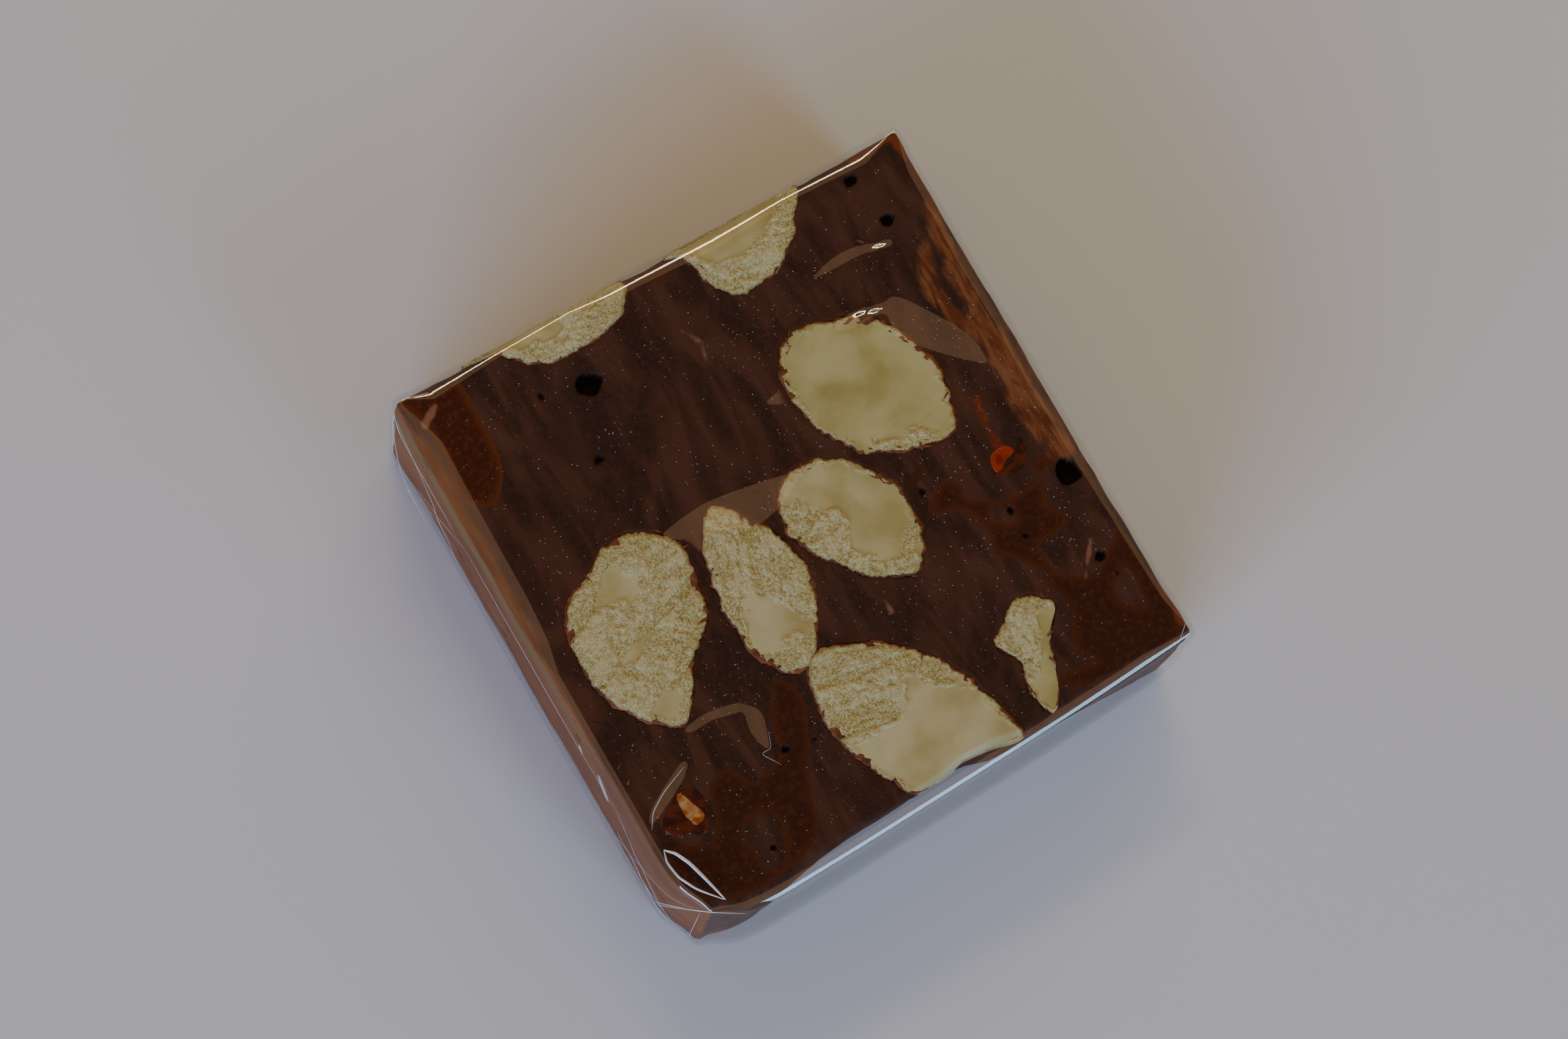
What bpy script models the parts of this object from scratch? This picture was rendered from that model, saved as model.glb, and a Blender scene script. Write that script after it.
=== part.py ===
"""A square bar of nougat sealed in a tight clear wrapper, as one solid of the pack's outer form.

The wrapper is a tube drawn round the bar along X and lapped underneath. Both ends are closed like an
envelope: the sides are tucked in, a flap comes down from the top and a second one comes up over it.

Metres, +Z up. The origin is at the middle of the base, and -X and +X are the folded ends.
Run it with: blender --background --python part.py
"""

import math

import bmesh
import bpy
from mathutils import Vector

MM = 0.001

# the pack
LENGTH = 49.0 * MM  # along X, between the end faces under the flaps
WIDTH = 50.9 * MM  # along Y
HEIGHT = 17.0 * MM
EDGE_RADIUS = 2.0 * MM  # how tightly the film turns over the edges
RIM_STEPS = 4  # facets round each edge
FACE_STEP = 2.9 * MM  # facet size on the faces
WALL_STEP = 2.3 * MM  # facet size up the walls

# the bar is cut by hand, so each corner lies off the true rectangle: (end, side) to (x, y)
CORNER_SHIFTS = {
    (-1, 1): (0.44 * MM, -0.15 * MM),
    (1, 1): (0.40 * MM, -0.10 * MM),
    (1, -1): (-0.40 * MM, 0.85 * MM),
    (-1, -1): (0.0 * MM, -0.95 * MM),
}
# how far the film's folded corners are drawn out; one is folded flat across its corner
CORNER_TIPS = {
    (-1, 1): 0.2 * MM,
    (1, 1): 0.2 * MM,
    (1, -1): 0.2 * MM,
    (-1, -1): -2.0 * MM,
}
TIP_REACH = 3.6 * MM  # how far along the edges a tip reaches
SIDE_BOW = 0.15 * MM  # how far the film stands out along the middle of each side
TOP_SAG = 0.45 * MM  # how far the top is sunk in its middle
TOP_WAVE = 0.12 * MM  # the cut face's waviness, felt through the film
WAVE_LENGTH = 19.0 * MM
WAVE_SKEW = 0.35  # how far the waves run askew of the sides
FADE_POWER = 4  # how late the relief dies away towards the edges

# the envelope folds on both ends
FLAP_LENGTH = 11.5 * MM  # from the edge to the flap's free end
FLAP_SIDE_GAP = 1.7 * MM  # from the pack's side to the flap's long base
FLAP_SLANT = 1.0  # how far a flap narrows on each side, for its length
FLAP_ROOT = 1.6 * MM  # how far in from the edge a flap starts
FLAP_BITE = 1.0 * MM  # how deep a flap is set into the end face
UPPER_FLAP_LIFT = 0.3 * MM
LOWER_FLAP_LIFT = 0.6 * MM  # it lies over the upper flap

# the lap seam underneath
SEAM_OFFSET = 5.0 * MM  # from the middle, towards +Y
SEAM_WIDTH = 0.5 * MM
SEAM_DEPTH = 0.25 * MM
SEAM_END_GAP = 3.0 * MM  # the seam stops this far from the folded ends

FILM_OVER_NOUGAT = (0.036, 0.017, 0.010, 1.0)
FILM_ROUGHNESS = 0.22
SHARP_ANGLE = math.radians(35.0)


def clear_scene():
    for item in list(bpy.data.objects):
        bpy.data.objects.remove(item, do_unlink=True)


def add_object(name, mesh_data):
    """A new object named name, holding the bmesh's shape."""
    mesh = bpy.data.meshes.new(name)
    mesh_data.to_mesh(mesh)
    mesh_data.free()
    item = bpy.data.objects.new(name, mesh)
    bpy.context.collection.objects.link(item)
    return item


def cut_places(half, step):
    """Where a box from -half to half is cut: evenly over the face, and closer round each edge."""
    flat = half - EDGE_RADIUS
    count = max(2, round(2 * flat / step))
    places = [-flat + 2 * flat * i / count for i in range(count + 1)]
    for i in range(1, RIM_STEPS):
        rim = flat + EDGE_RADIUS * i / RIM_STEPS
        places += [-rim, rim]
    return places


def cut_box():
    """A box of the pack's size about the origin, cut into a grid that is finer at its edges."""
    half = Vector((LENGTH, WIDTH, HEIGHT)) / 2
    shape = bmesh.new()
    bmesh.ops.create_cube(shape, size=1.0)
    bmesh.ops.scale(shape, vec=half * 2, verts=shape.verts)
    steps = (FACE_STEP, FACE_STEP, WALL_STEP)
    for axis in range(3):
        normal = Vector([float(axis == i) for i in range(3)])
        for place in cut_places(half[axis], steps[axis]):
            everything = shape.verts[:] + shape.edges[:] + shape.faces[:]
            bmesh.ops.bisect_plane(shape, geom=everything, plane_co=normal * place, plane_no=normal)
    return shape


def round_edges(shape):
    """Turns the box's edges and corners over at EDGE_RADIUS, as evenly spaced facets."""
    core = Vector((LENGTH, WIDTH, HEIGHT)) / 2 - Vector((1, 1, 1)) * EDGE_RADIUS
    for vert in shape.verts:
        inner = Vector([max(-core[i], min(core[i], vert.co[i])) for i in range(3)])
        # a place on the rim goes to the same share of the quarter turn
        reach = Vector([math.tan((vert.co[i] - inner[i]) / EDGE_RADIUS * math.pi / 4) for i in range(3)])
        vert.co = inner + reach.normalized() * EDGE_RADIUS


def flap(name, end, root_height, tip_height, lift):
    """A flat flap on one end: wide at root_height on its fold, narrower at tip_height, its free end."""
    root_half = WIDTH / 2 - FLAP_SIDE_GAP
    tip_half = root_half - abs(tip_height - root_height) * FLAP_SLANT
    inner = end * (LENGTH / 2 - FLAP_BITE)
    outline = [(-root_half, root_height), (root_half, root_height)]
    outline += [(tip_half, tip_height), (-tip_half, tip_height)]
    shape = bmesh.new()
    face = shape.faces.new([shape.verts.new((inner, y, z)) for y, z in outline])
    grown = bmesh.ops.extrude_face_region(shape, geom=[face])["geom"]
    moved = [item for item in grown if isinstance(item, bmesh.types.BMVert)]
    bmesh.ops.translate(shape, vec=(end * (FLAP_BITE + lift), 0, 0), verts=moved)
    bmesh.ops.recalc_face_normals(shape, faces=shape.faces)
    # cut across, so that the flap follows the end face when that is pulled in
    for place in cut_places(WIDTH / 2, FACE_STEP):
        everything = shape.verts[:] + shape.edges[:] + shape.faces[:]
        bmesh.ops.bisect_plane(shape, geom=everything, plane_co=(0, place, 0), plane_no=(0, 1, 0))
    return add_object(name, shape)


def seam_groove():
    """The cutter for the line where the wrapper's long edge is lapped underneath."""
    shape = bmesh.new()
    bmesh.ops.create_cube(shape, size=1.0)
    size = (LENGTH - 2 * SEAM_END_GAP, SEAM_WIDTH, 2 * SEAM_DEPTH)
    bmesh.ops.scale(shape, vec=size, verts=shape.verts)
    bmesh.ops.translate(shape, vec=(0, SEAM_OFFSET, -HEIGHT / 2), verts=shape.verts)
    return add_object("seam_groove", shape)


def combine(body, tool, operation):
    """Joins tool to body, or cuts it out, and removes the tool."""
    cut = body.modifiers.new(tool.name, "BOOLEAN")
    cut.operation = operation
    cut.object = tool
    depsgraph = bpy.context.evaluated_depsgraph_get()
    result = bpy.data.meshes.new_from_object(body.evaluated_get(depsgraph))
    body.modifiers.remove(cut)
    body.data = result
    bpy.data.objects.remove(tool, do_unlink=True)


def side_bow(point):
    """How far the film stands out at a point of the walls, along X and along Y."""
    along_x = point.x / (LENGTH / 2)
    along_y = point.y / (WIDTH / 2)
    out_x = SIDE_BOW * along_x * max(0.0, 1 - along_y**2)
    out_y = SIDE_BOW * along_y * max(0.0, 1 - along_x**2)
    return Vector((out_x, out_y, 0))


def corner_shift(point):
    """The hand-cut corners' shifts, blended over the plan, with each corner drawn to its tip."""
    total = Vector((0, 0, 0))
    for (end, side), (shift_x, shift_y) in CORNER_SHIFTS.items():
        share_x = 0.5 + 0.5 * end * point.x / (LENGTH / 2)
        share_y = 0.5 + 0.5 * side * point.y / (WIDTH / 2)
        total += Vector((shift_x, shift_y, 0)) * share_x * share_y
        corner = Vector((end * LENGTH / 2, side * WIDTH / 2))
        away = (point.xy - corner).length / TIP_REACH
        total += Vector((end, side, 0)).normalized() * CORNER_TIPS[end, side] * math.exp(-(away**2))
    return total


def top_relief(point):
    """How far the top is moved down or up at a point. It fades out down the walls."""
    along_x = min(1.0, abs(point.x) / (LENGTH / 2))
    along_y = min(1.0, abs(point.y) / (WIDTH / 2))
    inside = (1 - along_x**FADE_POWER) * (1 - along_y**FADE_POWER)
    turn = 2 * math.pi / WAVE_LENGTH
    across = math.sin(turn * (point.x + WAVE_SKEW * point.y))
    along = math.cos(turn * (point.y - WAVE_SKEW * point.x))
    wave = across * along
    height = max(0.0, point.z / (HEIGHT / 2))
    return (TOP_WAVE * wave - TOP_SAG) * inside * height


def settle(body):
    """Gives every point the wrapper's taut shape, then stands the pack on the middle of its base."""
    verts = body.data.vertices
    for vert in verts:
        point = vert.co.copy()
        vert.co = point + side_bow(point) + corner_shift(point) + Vector((0, 0, top_relief(point)))
    low = Vector([min(vert.co[i] for vert in verts) for i in range(3)])
    high = Vector([max(vert.co[i] for vert in verts) for i in range(3)])
    for vert in verts:
        vert.co -= Vector(((low.x + high.x) / 2, (low.y + high.y) / 2, low.z))


def finish(body):
    """Smooth shading with crisp folds, and the dark bar's colour under glossy film."""
    body.data.shade_smooth()
    body.data.set_sharp_from_angle(angle=SHARP_ANGLE)
    paint = bpy.data.materials.new("film_over_nougat")
    paint.use_nodes = True
    shader = paint.node_tree.nodes["Principled BSDF"]
    shader.inputs["Base Color"].default_value = FILM_OVER_NOUGAT
    shader.inputs["Roughness"].default_value = FILM_ROUGHNESS
    shader.inputs["Metallic"].default_value = 0.0
    body.data.materials.clear()
    body.data.materials.append(paint)


def build_pack():
    shape = cut_box()
    round_edges(shape)
    pack = add_object("wrapped_nougat_bar", shape)
    edge = HEIGHT / 2 - FLAP_ROOT
    for end, end_name in ((-1, "left"), (1, "right")):
        upper = flap(f"{end_name}_upper_flap", end, edge, edge - FLAP_LENGTH, UPPER_FLAP_LIFT)
        combine(pack, upper, "UNION")
        lower = flap(f"{end_name}_lower_flap", end, -edge, -edge + FLAP_LENGTH, LOWER_FLAP_LIFT)
        combine(pack, lower, "UNION")
    combine(pack, seam_groove(), "DIFFERENCE")
    settle(pack)
    finish(pack)


clear_scene()
build_pack()
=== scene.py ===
import math

import bpy
import numpy as np
from mathutils import Matrix, Vector


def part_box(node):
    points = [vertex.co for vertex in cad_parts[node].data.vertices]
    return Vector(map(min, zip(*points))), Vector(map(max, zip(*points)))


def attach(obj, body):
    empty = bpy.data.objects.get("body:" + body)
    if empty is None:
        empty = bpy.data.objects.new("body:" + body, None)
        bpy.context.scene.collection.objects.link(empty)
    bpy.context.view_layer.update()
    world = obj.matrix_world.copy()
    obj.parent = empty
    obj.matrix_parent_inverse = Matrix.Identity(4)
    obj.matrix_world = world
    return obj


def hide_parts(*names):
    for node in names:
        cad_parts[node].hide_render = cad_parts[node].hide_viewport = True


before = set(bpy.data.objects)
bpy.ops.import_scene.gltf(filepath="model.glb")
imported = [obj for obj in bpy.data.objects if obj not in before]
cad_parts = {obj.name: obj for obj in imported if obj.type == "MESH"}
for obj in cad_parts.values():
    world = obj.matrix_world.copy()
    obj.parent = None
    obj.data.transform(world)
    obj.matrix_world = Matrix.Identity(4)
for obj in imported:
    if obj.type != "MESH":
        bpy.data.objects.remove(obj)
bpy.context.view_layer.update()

mm = 0.001
packNode = "wrapped_nougat_bar"
packLow, packHigh = (np.array(corner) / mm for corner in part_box(packNode))
packSize = packHigh - packLow  # everything below is worked out in millimetres

# the wrapped bar, whose four hand-cut corners lie off the true rectangle: (end, side) to (x, y)
pack = {
    "endExtra": 1.708,  # what the flaps and the corners add to the length
    "sideExtra": 0.759,  # what the corners add to the width
    "cornerShifts": {(-1, 1): (0.44, -0.15), (1, 1): (0.40, -0.10), (1, -1): (-0.40, 0.85), (-1, -1): (0.0, -0.95)},
    "cornerTips": {(-1, 1): 0.2, (1, 1): 0.2, (1, -1): 0.2, (-1, -1): -2.0},
    "tipReach": 3.6,
    "bow": 0.15,  # how far the film stands out along the middle of each side
    "frontOut": 0.5,  # the film stands clear of the sunk front
    "sag": 0.33,
    "upperRadius": 1.4,  # how far down the sides the film turns over
    "lowerRadius": 0.6,
    # how far in from each side the film starts to turn over: places along the edge, and reaches
    "leftRoll": ((-25, -1, 2, 6, 21, 25), (0.8, 1.0, 1.8, 2.2, 2.5, 0.9)),
    "rightRoll": ((-25, -22, -12, 12, 22, 25), (0.7, 1.3, 1.8, 1.8, 1.5, 0.7)),
    "frontRoll": ((-25, -20, 20, 25), (0.8, 1.3, 1.3, 0.7)),
    "backRoll": ((-24, -22, -16, -8, -4, 6, 13, 21, 24), (0.9, 2.1, 1.6, 1.3, 2.1, 2.8, 1.9, 2.2, 0.8)),
    "seam": 5.0,  # the wrapper is lapped underneath along this line
    "lap": 0.06,
}
packHalf = np.array([packSize[0] - pack["endExtra"], packSize[1] - pack["sideExtra"], packSize[2]]) / 2

bar = {
    "half": (24.2, 25.05, 8.2),
    "bottom": 0.15,
    "sag": 0.32,
    "filmGap": 0.45,  # how much tighter than the film the bar's own edges turn
    "upperRadius": 1.3,
    "lowerRadius": 0.5,
    # the front side is sunk between its corners, and leans in under the sunk stretch
    "hollow": ((-16, -12, -8, -4, 0, 2, 5, 7), (0, 0.5, 0.65, 0.5, 0.6, 0.95, 0.6, 0)),
    "lean": ((-24, -9, 1, 10, 24), (0, 1.3, 1.6, 0.9, 0.2)),
    "hollowReach": 4.5,
    "topStep": 0.225,
    "wallStep": 0.5,
    "bottomSkip": 5,
}
barHalf = np.array(bar["half"])
barCentre = np.array([0, 0, bar["bottom"] + barHalf[2]])


def smoothStep(low, high, value):
    share = np.clip((value - low) / (high - low), 0, 1)
    return share * share * (3 - 2 * share)


def lattice(points, seed):
    # one settled random number from -1 to 1 for each whole-numbered place
    number = points.astype(np.int64) @ np.array([374761393, 668265263, 1440662683]) + seed * 974634777
    number = (number ^ (number >> 13)) * 1274126177
    number &= 0xFFFFFFFF
    return ((number ^ (number >> 16)) & 0xFFFF) / 32767.5 - 1


def noise(points, cell, seed):
    # smooth noise from -1 to 1 whose lumps are about as wide as cell
    places = points / cell
    whole = np.floor(places)
    part = places - whole
    part = part * part * (3 - 2 * part)
    total = np.zeros(len(points))
    for corner in np.ndindex(2, 2, 2):
        share = np.prod(np.where(corner, part, 1 - part), axis=1)
        total += share * lattice(whole + corner, seed)
    return total


def cloud(points, cell, octaves, seed):
    total = np.zeros(len(points))
    for octave in range(octaves):
        total += noise(points, cell / 2**octave, seed + octave) / 2**octave
    return total / (2 - 2 / 2**octaves)


def flatten(points):
    return np.column_stack([points[:, :2], np.zeros(len(points))])


def insideShare(points, half, power):
    # 1 over most of the top, falling to 0 at its edges
    along = np.clip(np.abs(points[:, :2] / half[:2]), 0, 1)
    return (1 - along[:, 0] ** power) * (1 - along[:, 1] ** power)


def smoothLoop(corners, steps):
    # a curve through the corners of a closed line
    points = np.array(corners, dtype=float)
    before, after, beyond = np.roll(points, 1, 0), np.roll(points, -1, 0), np.roll(points, -2, 0)
    loop = []
    for t in np.linspace(0, 1, steps, endpoint=False):
        bend = (2 * before - 5 * points + 4 * after - beyond) * t**2
        bend += (3 * points - before - 3 * after + beyond) * t**3
        loop.append(0.5 * (2 * points + (after - before) * t + bend))
    return np.stack(loop, axis=1).reshape(-1, 2)


def edgeDistance(places, line, closed):
    # how far places are from a line, and which of them a closed line holds
    ends = np.roll(line, -1, axis=0) if closed else line[1:]
    nearest = np.full(len(places), 1e9)
    held = np.zeros(len(places), dtype=bool)
    for start, end in zip(line, ends):
        run = end - start
        share = np.clip((places - start) @ run / max(run @ run, 1e-12), 0, 1)
        gap = places - start - share[:, None] * run
        nearest = np.minimum(nearest, np.einsum("ij,ij->i", gap, gap))
        if closed and run[1] != 0:
            crossing = (start[1] > places[:, 1]) != (end[1] > places[:, 1])
            held ^= crossing & (places[:, 0] < start[0] + (places[:, 1] - start[1]) * run[0] / run[1])
    return np.sqrt(nearest), held


def areaDepth(points, corners, limit=1.6):
    # how far inside a drawn area points lie; negative is outside
    loop = smoothLoop(corners, 4)
    depth = np.full(len(points), -limit)
    low, high = loop.min(axis=0) - limit, loop.max(axis=0) + limit
    near = np.flatnonzero(np.all((points[:, :2] > low) & (points[:, :2] < high), axis=1))
    distance, held = edgeDistance(points[near, :2], loop, True)
    depth[near] = np.clip(np.where(held, distance, -distance), -limit, limit)
    return depth


def strokeDepth(points, line, width, limit=1.6):
    # how far inside a drawn stroke points lie; negative is outside
    line = np.array(line, dtype=float)
    depth = np.full(len(points), -limit)
    low, high = line.min(axis=0) - limit - width, line.max(axis=0) + limit + width
    near = np.flatnonzero(np.all((points[:, :2] > low) & (points[:, :2] < high), axis=1))
    distance, _ = edgeDistance(points[near, :2], line, False)
    depth[near] = np.clip(width / 2 - distance, -limit, limit)
    return depth


def cornerShift(points, half):
    moved = np.zeros_like(points)
    for (end, side), shift in pack["cornerShifts"].items():
        share = (0.5 + 0.5 * end * points[:, 0] / half[0]) * (0.5 + 0.5 * side * points[:, 1] / half[1])
        away = np.linalg.norm(points[:, :2] - np.array([end, side]) * half[:2], axis=1) / pack["tipReach"]
        drawn = pack["cornerTips"][end, side] * np.exp(-(away**2)) / math.sqrt(2)
        moved[:, :2] += share[:, None] * np.array(shift) + drawn[:, None] * np.array([end, side])
    return moved


def wrapPlan(points):
    # where a point of the plain pack lies once the film is pulled taut
    along = points / packHalf
    moved = cornerShift(points, packHalf)
    moved[:, 0] += pack["bow"] * along[:, 0] * np.maximum(0, 1 - along[:, 1] ** 2)
    moved[:, 1] += pack["bow"] * along[:, 1] * np.maximum(0, 1 - along[:, 0] ** 2)
    moved[:, 1] -= pack["frontOut"] * np.clip(-along[:, 1], 0, 1) ** 3 * np.maximum(0, 1 - along[:, 0] ** 6)
    return points + moved


def barPlan(points):
    # where a point of the true block lies in the hand-cut bar
    moved = cornerShift(points, barHalf)
    height = 0.5 + 0.5 * points[:, 2] / barHalf[2]
    nearFront = np.clip(1 - (points[:, 1] + barHalf[1]) / bar["hollowReach"], 0, 1) ** 2
    lean = np.interp(points[:, 0], *bar["lean"]) * (1 - height)
    moved[:, 1] += (np.interp(points[:, 0], *bar["hollow"]) + lean) * nearFront
    moved[:, 2] -= bar["sag"] * insideShare(points, barHalf, 4) * np.clip(2 * height - 1, 0, 1)
    return points + moved


def blockPlan(points):
    # the way back from the bar to the true block
    guess = points.copy()
    for _ in range(4):
        guess += points - barPlan(guess)
    return guess


def edgePlaces(half, step, rimSteps):
    # cuts from -2 to 2: the flat face lies between -1 and 1, and the turned edges beyond
    rim = 1 + np.arange(1, rimSteps + 1) / rimSteps
    return np.concatenate([-rim[::-1], np.linspace(-1, 1, round(2 * half / step) + 1), rim])


def boxSkin(places, skip):
    # the faces of a box cut into a grid; the base is coarser and keeps the walls' points round it
    counts = [len(line) - 1 for line in places]
    span = np.array([(counts[1] + 1) * (counts[2] + 1), counts[2] + 1, 1])
    faces = []

    def panel(first, second, fixed, turned):
        i, j = np.meshgrid(np.arange(counts[first]), np.arange(counts[second]), indexing="ij")
        i, j = i.ravel(), j.ravel()
        ring = [(0, 0), (1, 0), (1, 1), (0, 1)]
        if turned:
            ring.reverse()
        quads = np.stack([fixed + (i + a) * span[first] + (j + b) * span[second] for a, b in ring], axis=1)
        faces.extend(quads.tolist())

    panel(0, 1, counts[2], False)
    panel(1, 2, counts[0] * span[0], False)
    panel(1, 2, 0, True)
    panel(2, 0, counts[1] * span[1], False)
    panel(2, 0, 0, True)
    stops = [sorted({*range(0, counts[axis], skip), counts[axis]}) for axis in (0, 1)]
    for left, right in zip(stops[0], stops[0][1:]):
        for near, far in zip(stops[1], stops[1][1:]):
            loop = [(left, j) for j in (range(near, far) if left == 0 else (near,))]
            loop += [(i, far) for i in (range(left, right) if far == counts[1] else (left,))]
            loop += [(right, j) for j in (range(far, near, -1) if right == counts[0] else (far,))]
            loop += [(i, near) for i in (range(right, left, -1) if near == 0 else (right,))]
            faces.append([i * span[0] + j * span[1] for i, j in loop])
    used = np.unique(np.concatenate([np.array(face) for face in faces]))
    order = {int(key): index for index, key in enumerate(used)}
    faces = [[order[key] for key in face] for face in faces]
    i, rest = np.divmod(used, span[0])
    j, k = np.divmod(rest, span[1])
    return np.stack([places[0][i], places[1][j], places[2][k]], axis=1), faces


def edgeRadii(along, tighter, upper, lower):
    # how far in and down each edge turns, for points given as shares of the half size
    along = np.clip(along, -1, 1)
    x, y = along[:, 0] * packHalf[0], along[:, 1] * packHalf[1]
    radii = np.empty_like(along)
    radii[:, 0] = np.where(along[:, 0] < 0, np.interp(y, *pack["leftRoll"]), np.interp(y, *pack["rightRoll"]))
    radii[:, 1] = np.where(along[:, 1] < 0, np.interp(x, *pack["frontRoll"]), np.interp(x, *pack["backRoll"]))
    high = smoothStep(-0.6, 0.6, along[:, 2])[:, None]
    radii[:, :2] = lower + (np.maximum(radii[:, :2] - tighter, 0.45) - lower) * high
    radii[:, 2] = np.where(along[:, 2] > 0, upper, lower)
    return radii


def barRadii(along):
    return edgeRadii(along, bar["filmGap"], bar["upperRadius"], bar["lowerRadius"])


def roundBox(places, half, radii):
    # turns the edges of a box over, and gives each point's outward direction
    flat = np.clip(places, -1, 1)
    turned = np.tan((places - flat) * math.pi / 4)
    outward = turned / np.linalg.norm(turned, axis=1)[:, None]
    return flat * (half - radii) + outward * radii, outward


def ontoBlock(points):
    # pulls what stands out of the block back onto its rounded surface, and says which points moved
    radii = barRadii(points / barHalf)
    inner = np.clip(points, radii - barHalf, barHalf - radii)
    away = (points - inner) / radii
    length = np.maximum(np.linalg.norm(away, axis=1), 1e-9)
    outward = away / length[:, None]
    outside = length > 0.985
    return np.where(outside[:, None], inner + outward * radii, points), outward, outside


def cutPack():
    # the film's plain grid, and how far it must move to stand on the middle of its base
    places = [edgePlaces(packHalf[axis], step, 8) for axis, step in enumerate((0.25, 0.25, 0.45))]
    points, faces = boxSkin(places, 4)
    radii = edgeRadii(np.clip(points, -1, 1), 0, pack["upperRadius"], pack["lowerRadius"])
    plain, outward = roundBox(points, packHalf, radii)
    points = wrapPlan(plain)
    low, high = points.min(axis=0), points.max(axis=0)
    points[:, 2] += packHalf[2]
    return plain, points, outward, faces, np.array([-(low[0] + high[0]) / 2, -(low[1] + high[1]) / 2, 0])


filmPlain, filmPoints, filmOutward, filmFaces, standing = cutPack()


def makePiece(name, points, faces, materials, layers=None, edges=()):
    mesh = bpy.data.meshes.new(name)
    mesh.from_pydata(((points + standing) * mm).tolist(), list(edges), faces)
    mesh.update()
    for label, values in (layers or {}).items():
        layer = mesh.attributes.new(label, "FLOAT", "POINT")
        layer.data.foreach_set("value", np.asarray(values, dtype=np.float32))
    for material in materials:
        mesh.materials.append(material)
    mesh.shade_smooth()
    piece = bpy.data.objects.new(name, mesh)
    bpy.context.collection.objects.link(piece)
    return piece


# the cut almonds: waxy areas are where the knife left the flesh smooth, the rest is torn and crumbly
almonds = {
    "plumpAlmond": {
        "outline": [(7.5, 14), (12.5, 13), (15.5, 10.5), (17, 6.5), (16.5, 2), (14.5, 0), (9, 1.5), (6, 5), (5, 9),
                    (5.5, 12)],
        "depth": 4.5, "grain": -25, "cream": 0.15,
        "torn": [[(12.5, 2), (13.5, 1), (13.5, 0), (11.5, 1)], [(9, 3), (10.5, 1.5), (8.5, 1.5)]],
    },
    "middleAlmond": {
        "outline": [(1, 3.5), (4.5, 3.5), (7.5, 1), (9, -2.5), (8.5, -6.5), (6.5, -8.5), (3, -7), (0.5, -4),
                    (-1, -1), (-0.5, 2)],
        "depth": 4.0, "grain": 35, "cream": 0.6,
        "torn": [[(-0.5, 2), (1.5, 0.5), (3.5, -1), (3.5, -3.5), (3, -5), (6.5, -7.5), (5.5, -8.5), (2.5, -7.5),
                  (0, -4.5), (-1.5, -1.5)],
                 [(6.5, -6), (8, -5.5), (7, -8), (5.5, -7.5)]],
    },
    "leftAlmond": {
        "outline": [(-17.5, 4.5), (-14.5, 6), (-11.5, 5.5), (-9.5, 3.5), (-9.5, 0), (-11, -4), (-13.5, -6),
                    (-14.5, -8), (-16.5, -10), (-18.5, -9), (-20.5, -6.5), (-21.5, -4), (-21.5, 0), (-20, 3)],
        "depth": 4.5, "grain": 19, "cream": 0.7,
        "waxy": [[(-16.5, 4.5), (-14, 3), (-14.5, 1.5), (-18, 2)], [(-18, -6.5), (-15.5, -7.5), (-18, -9.5), (-19, -8)],
                 [(-15, -1.5), (-17.5, -3), (-18.5, -3), (-17, -2)]],
    },
    "slimAlmond": {
        "outline": [(-5.5, 4.5), (-3.5, 2.5), (-1.5, -1.5), (-1.5, -5.5), (-3, -8.5), (-4.5, -10.5), (-6.5, -11),
                    (-8.5, -8.5), (-9, -4.5), (-8.5, -0.5), (-7.5, 2.5)],
        "depth": 4.0, "grain": 75, "cream": 0.8,
        "waxy": [[(-7, -3.5), (-5.5, -4), (-3.5, -7), (-3.5, -8.5), (-5, -8), (-8, -8), (-8, -6)]],
    },
    "frontAlmond": {
        "outline": [(-5, -10.5), (-1.5, -11), (2.5, -13.5), (5, -17), (6.5, -21.5), (7, -25.5), (3, -26.5),
                    (-1.5, -26), (-4.5, -22.5), (-6, -18.5), (-6.5, -15)],
        "depth": 5.5, "grain": -12, "cream": 0.85,
        "torn": [[(-5, -10), (-3.5, -10), (0, -12), (2.5, -14), (5, -18.5), (3.5, -18.5), (1.5, -16), (0, -18),
                  (-3.5, -18.5), (-6.5, -18), (-7, -15)]],
    },
    "backAlmond": {
        "outline": [(2, 27), (3.5, 24), (4, 21), (6, 19), (10, 19.5), (13, 22), (15, 26), (12, 29.5), (5.5, 29.5)],
        "depth": 5.5, "grain": 0, "cream": 0.45,
        "waxy": [[(3.5, 24.5), (5.5, 22.5), (8, 22), (10.5, 23), (12.5, 26), (12, 29), (4, 29)]],
    },
    "edgeAlmond": {
        "outline": [(-17.5, 26.5), (-14.5, 24.5), (-12, 22), (-9, 21.5), (-6.5, 21.5), (-3.5, 22.5), (-2, 26), (-6, 29),
                    (-13, 29)],
        "depth": 5.0, "grain": 10, "cream": 0.7,
        "waxy": [[(-16, 26), (-12.5, 24), (-9.5, 23.5), (-9, 26), (-12, 28.5)]],
    },
    "splinterAlmond": {
        "outline": [(12.5, -14.5), (15, -16.5), (13.5, -18.5), (12.5, -21), (10.5, -24.5), (9.5, -22.5), (10, -19.5),
                    (9, -17), (10.5, -16)],
        "depth": 3.0, "grain": 70, "cream": 0.3,
        "torn": [[(12, -13), (15.5, -16.5), (13.5, -17.5), (12, -20), (10.5, -21.5), (8.5, -19.5), (8, -16.5)]],
    },
}

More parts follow.
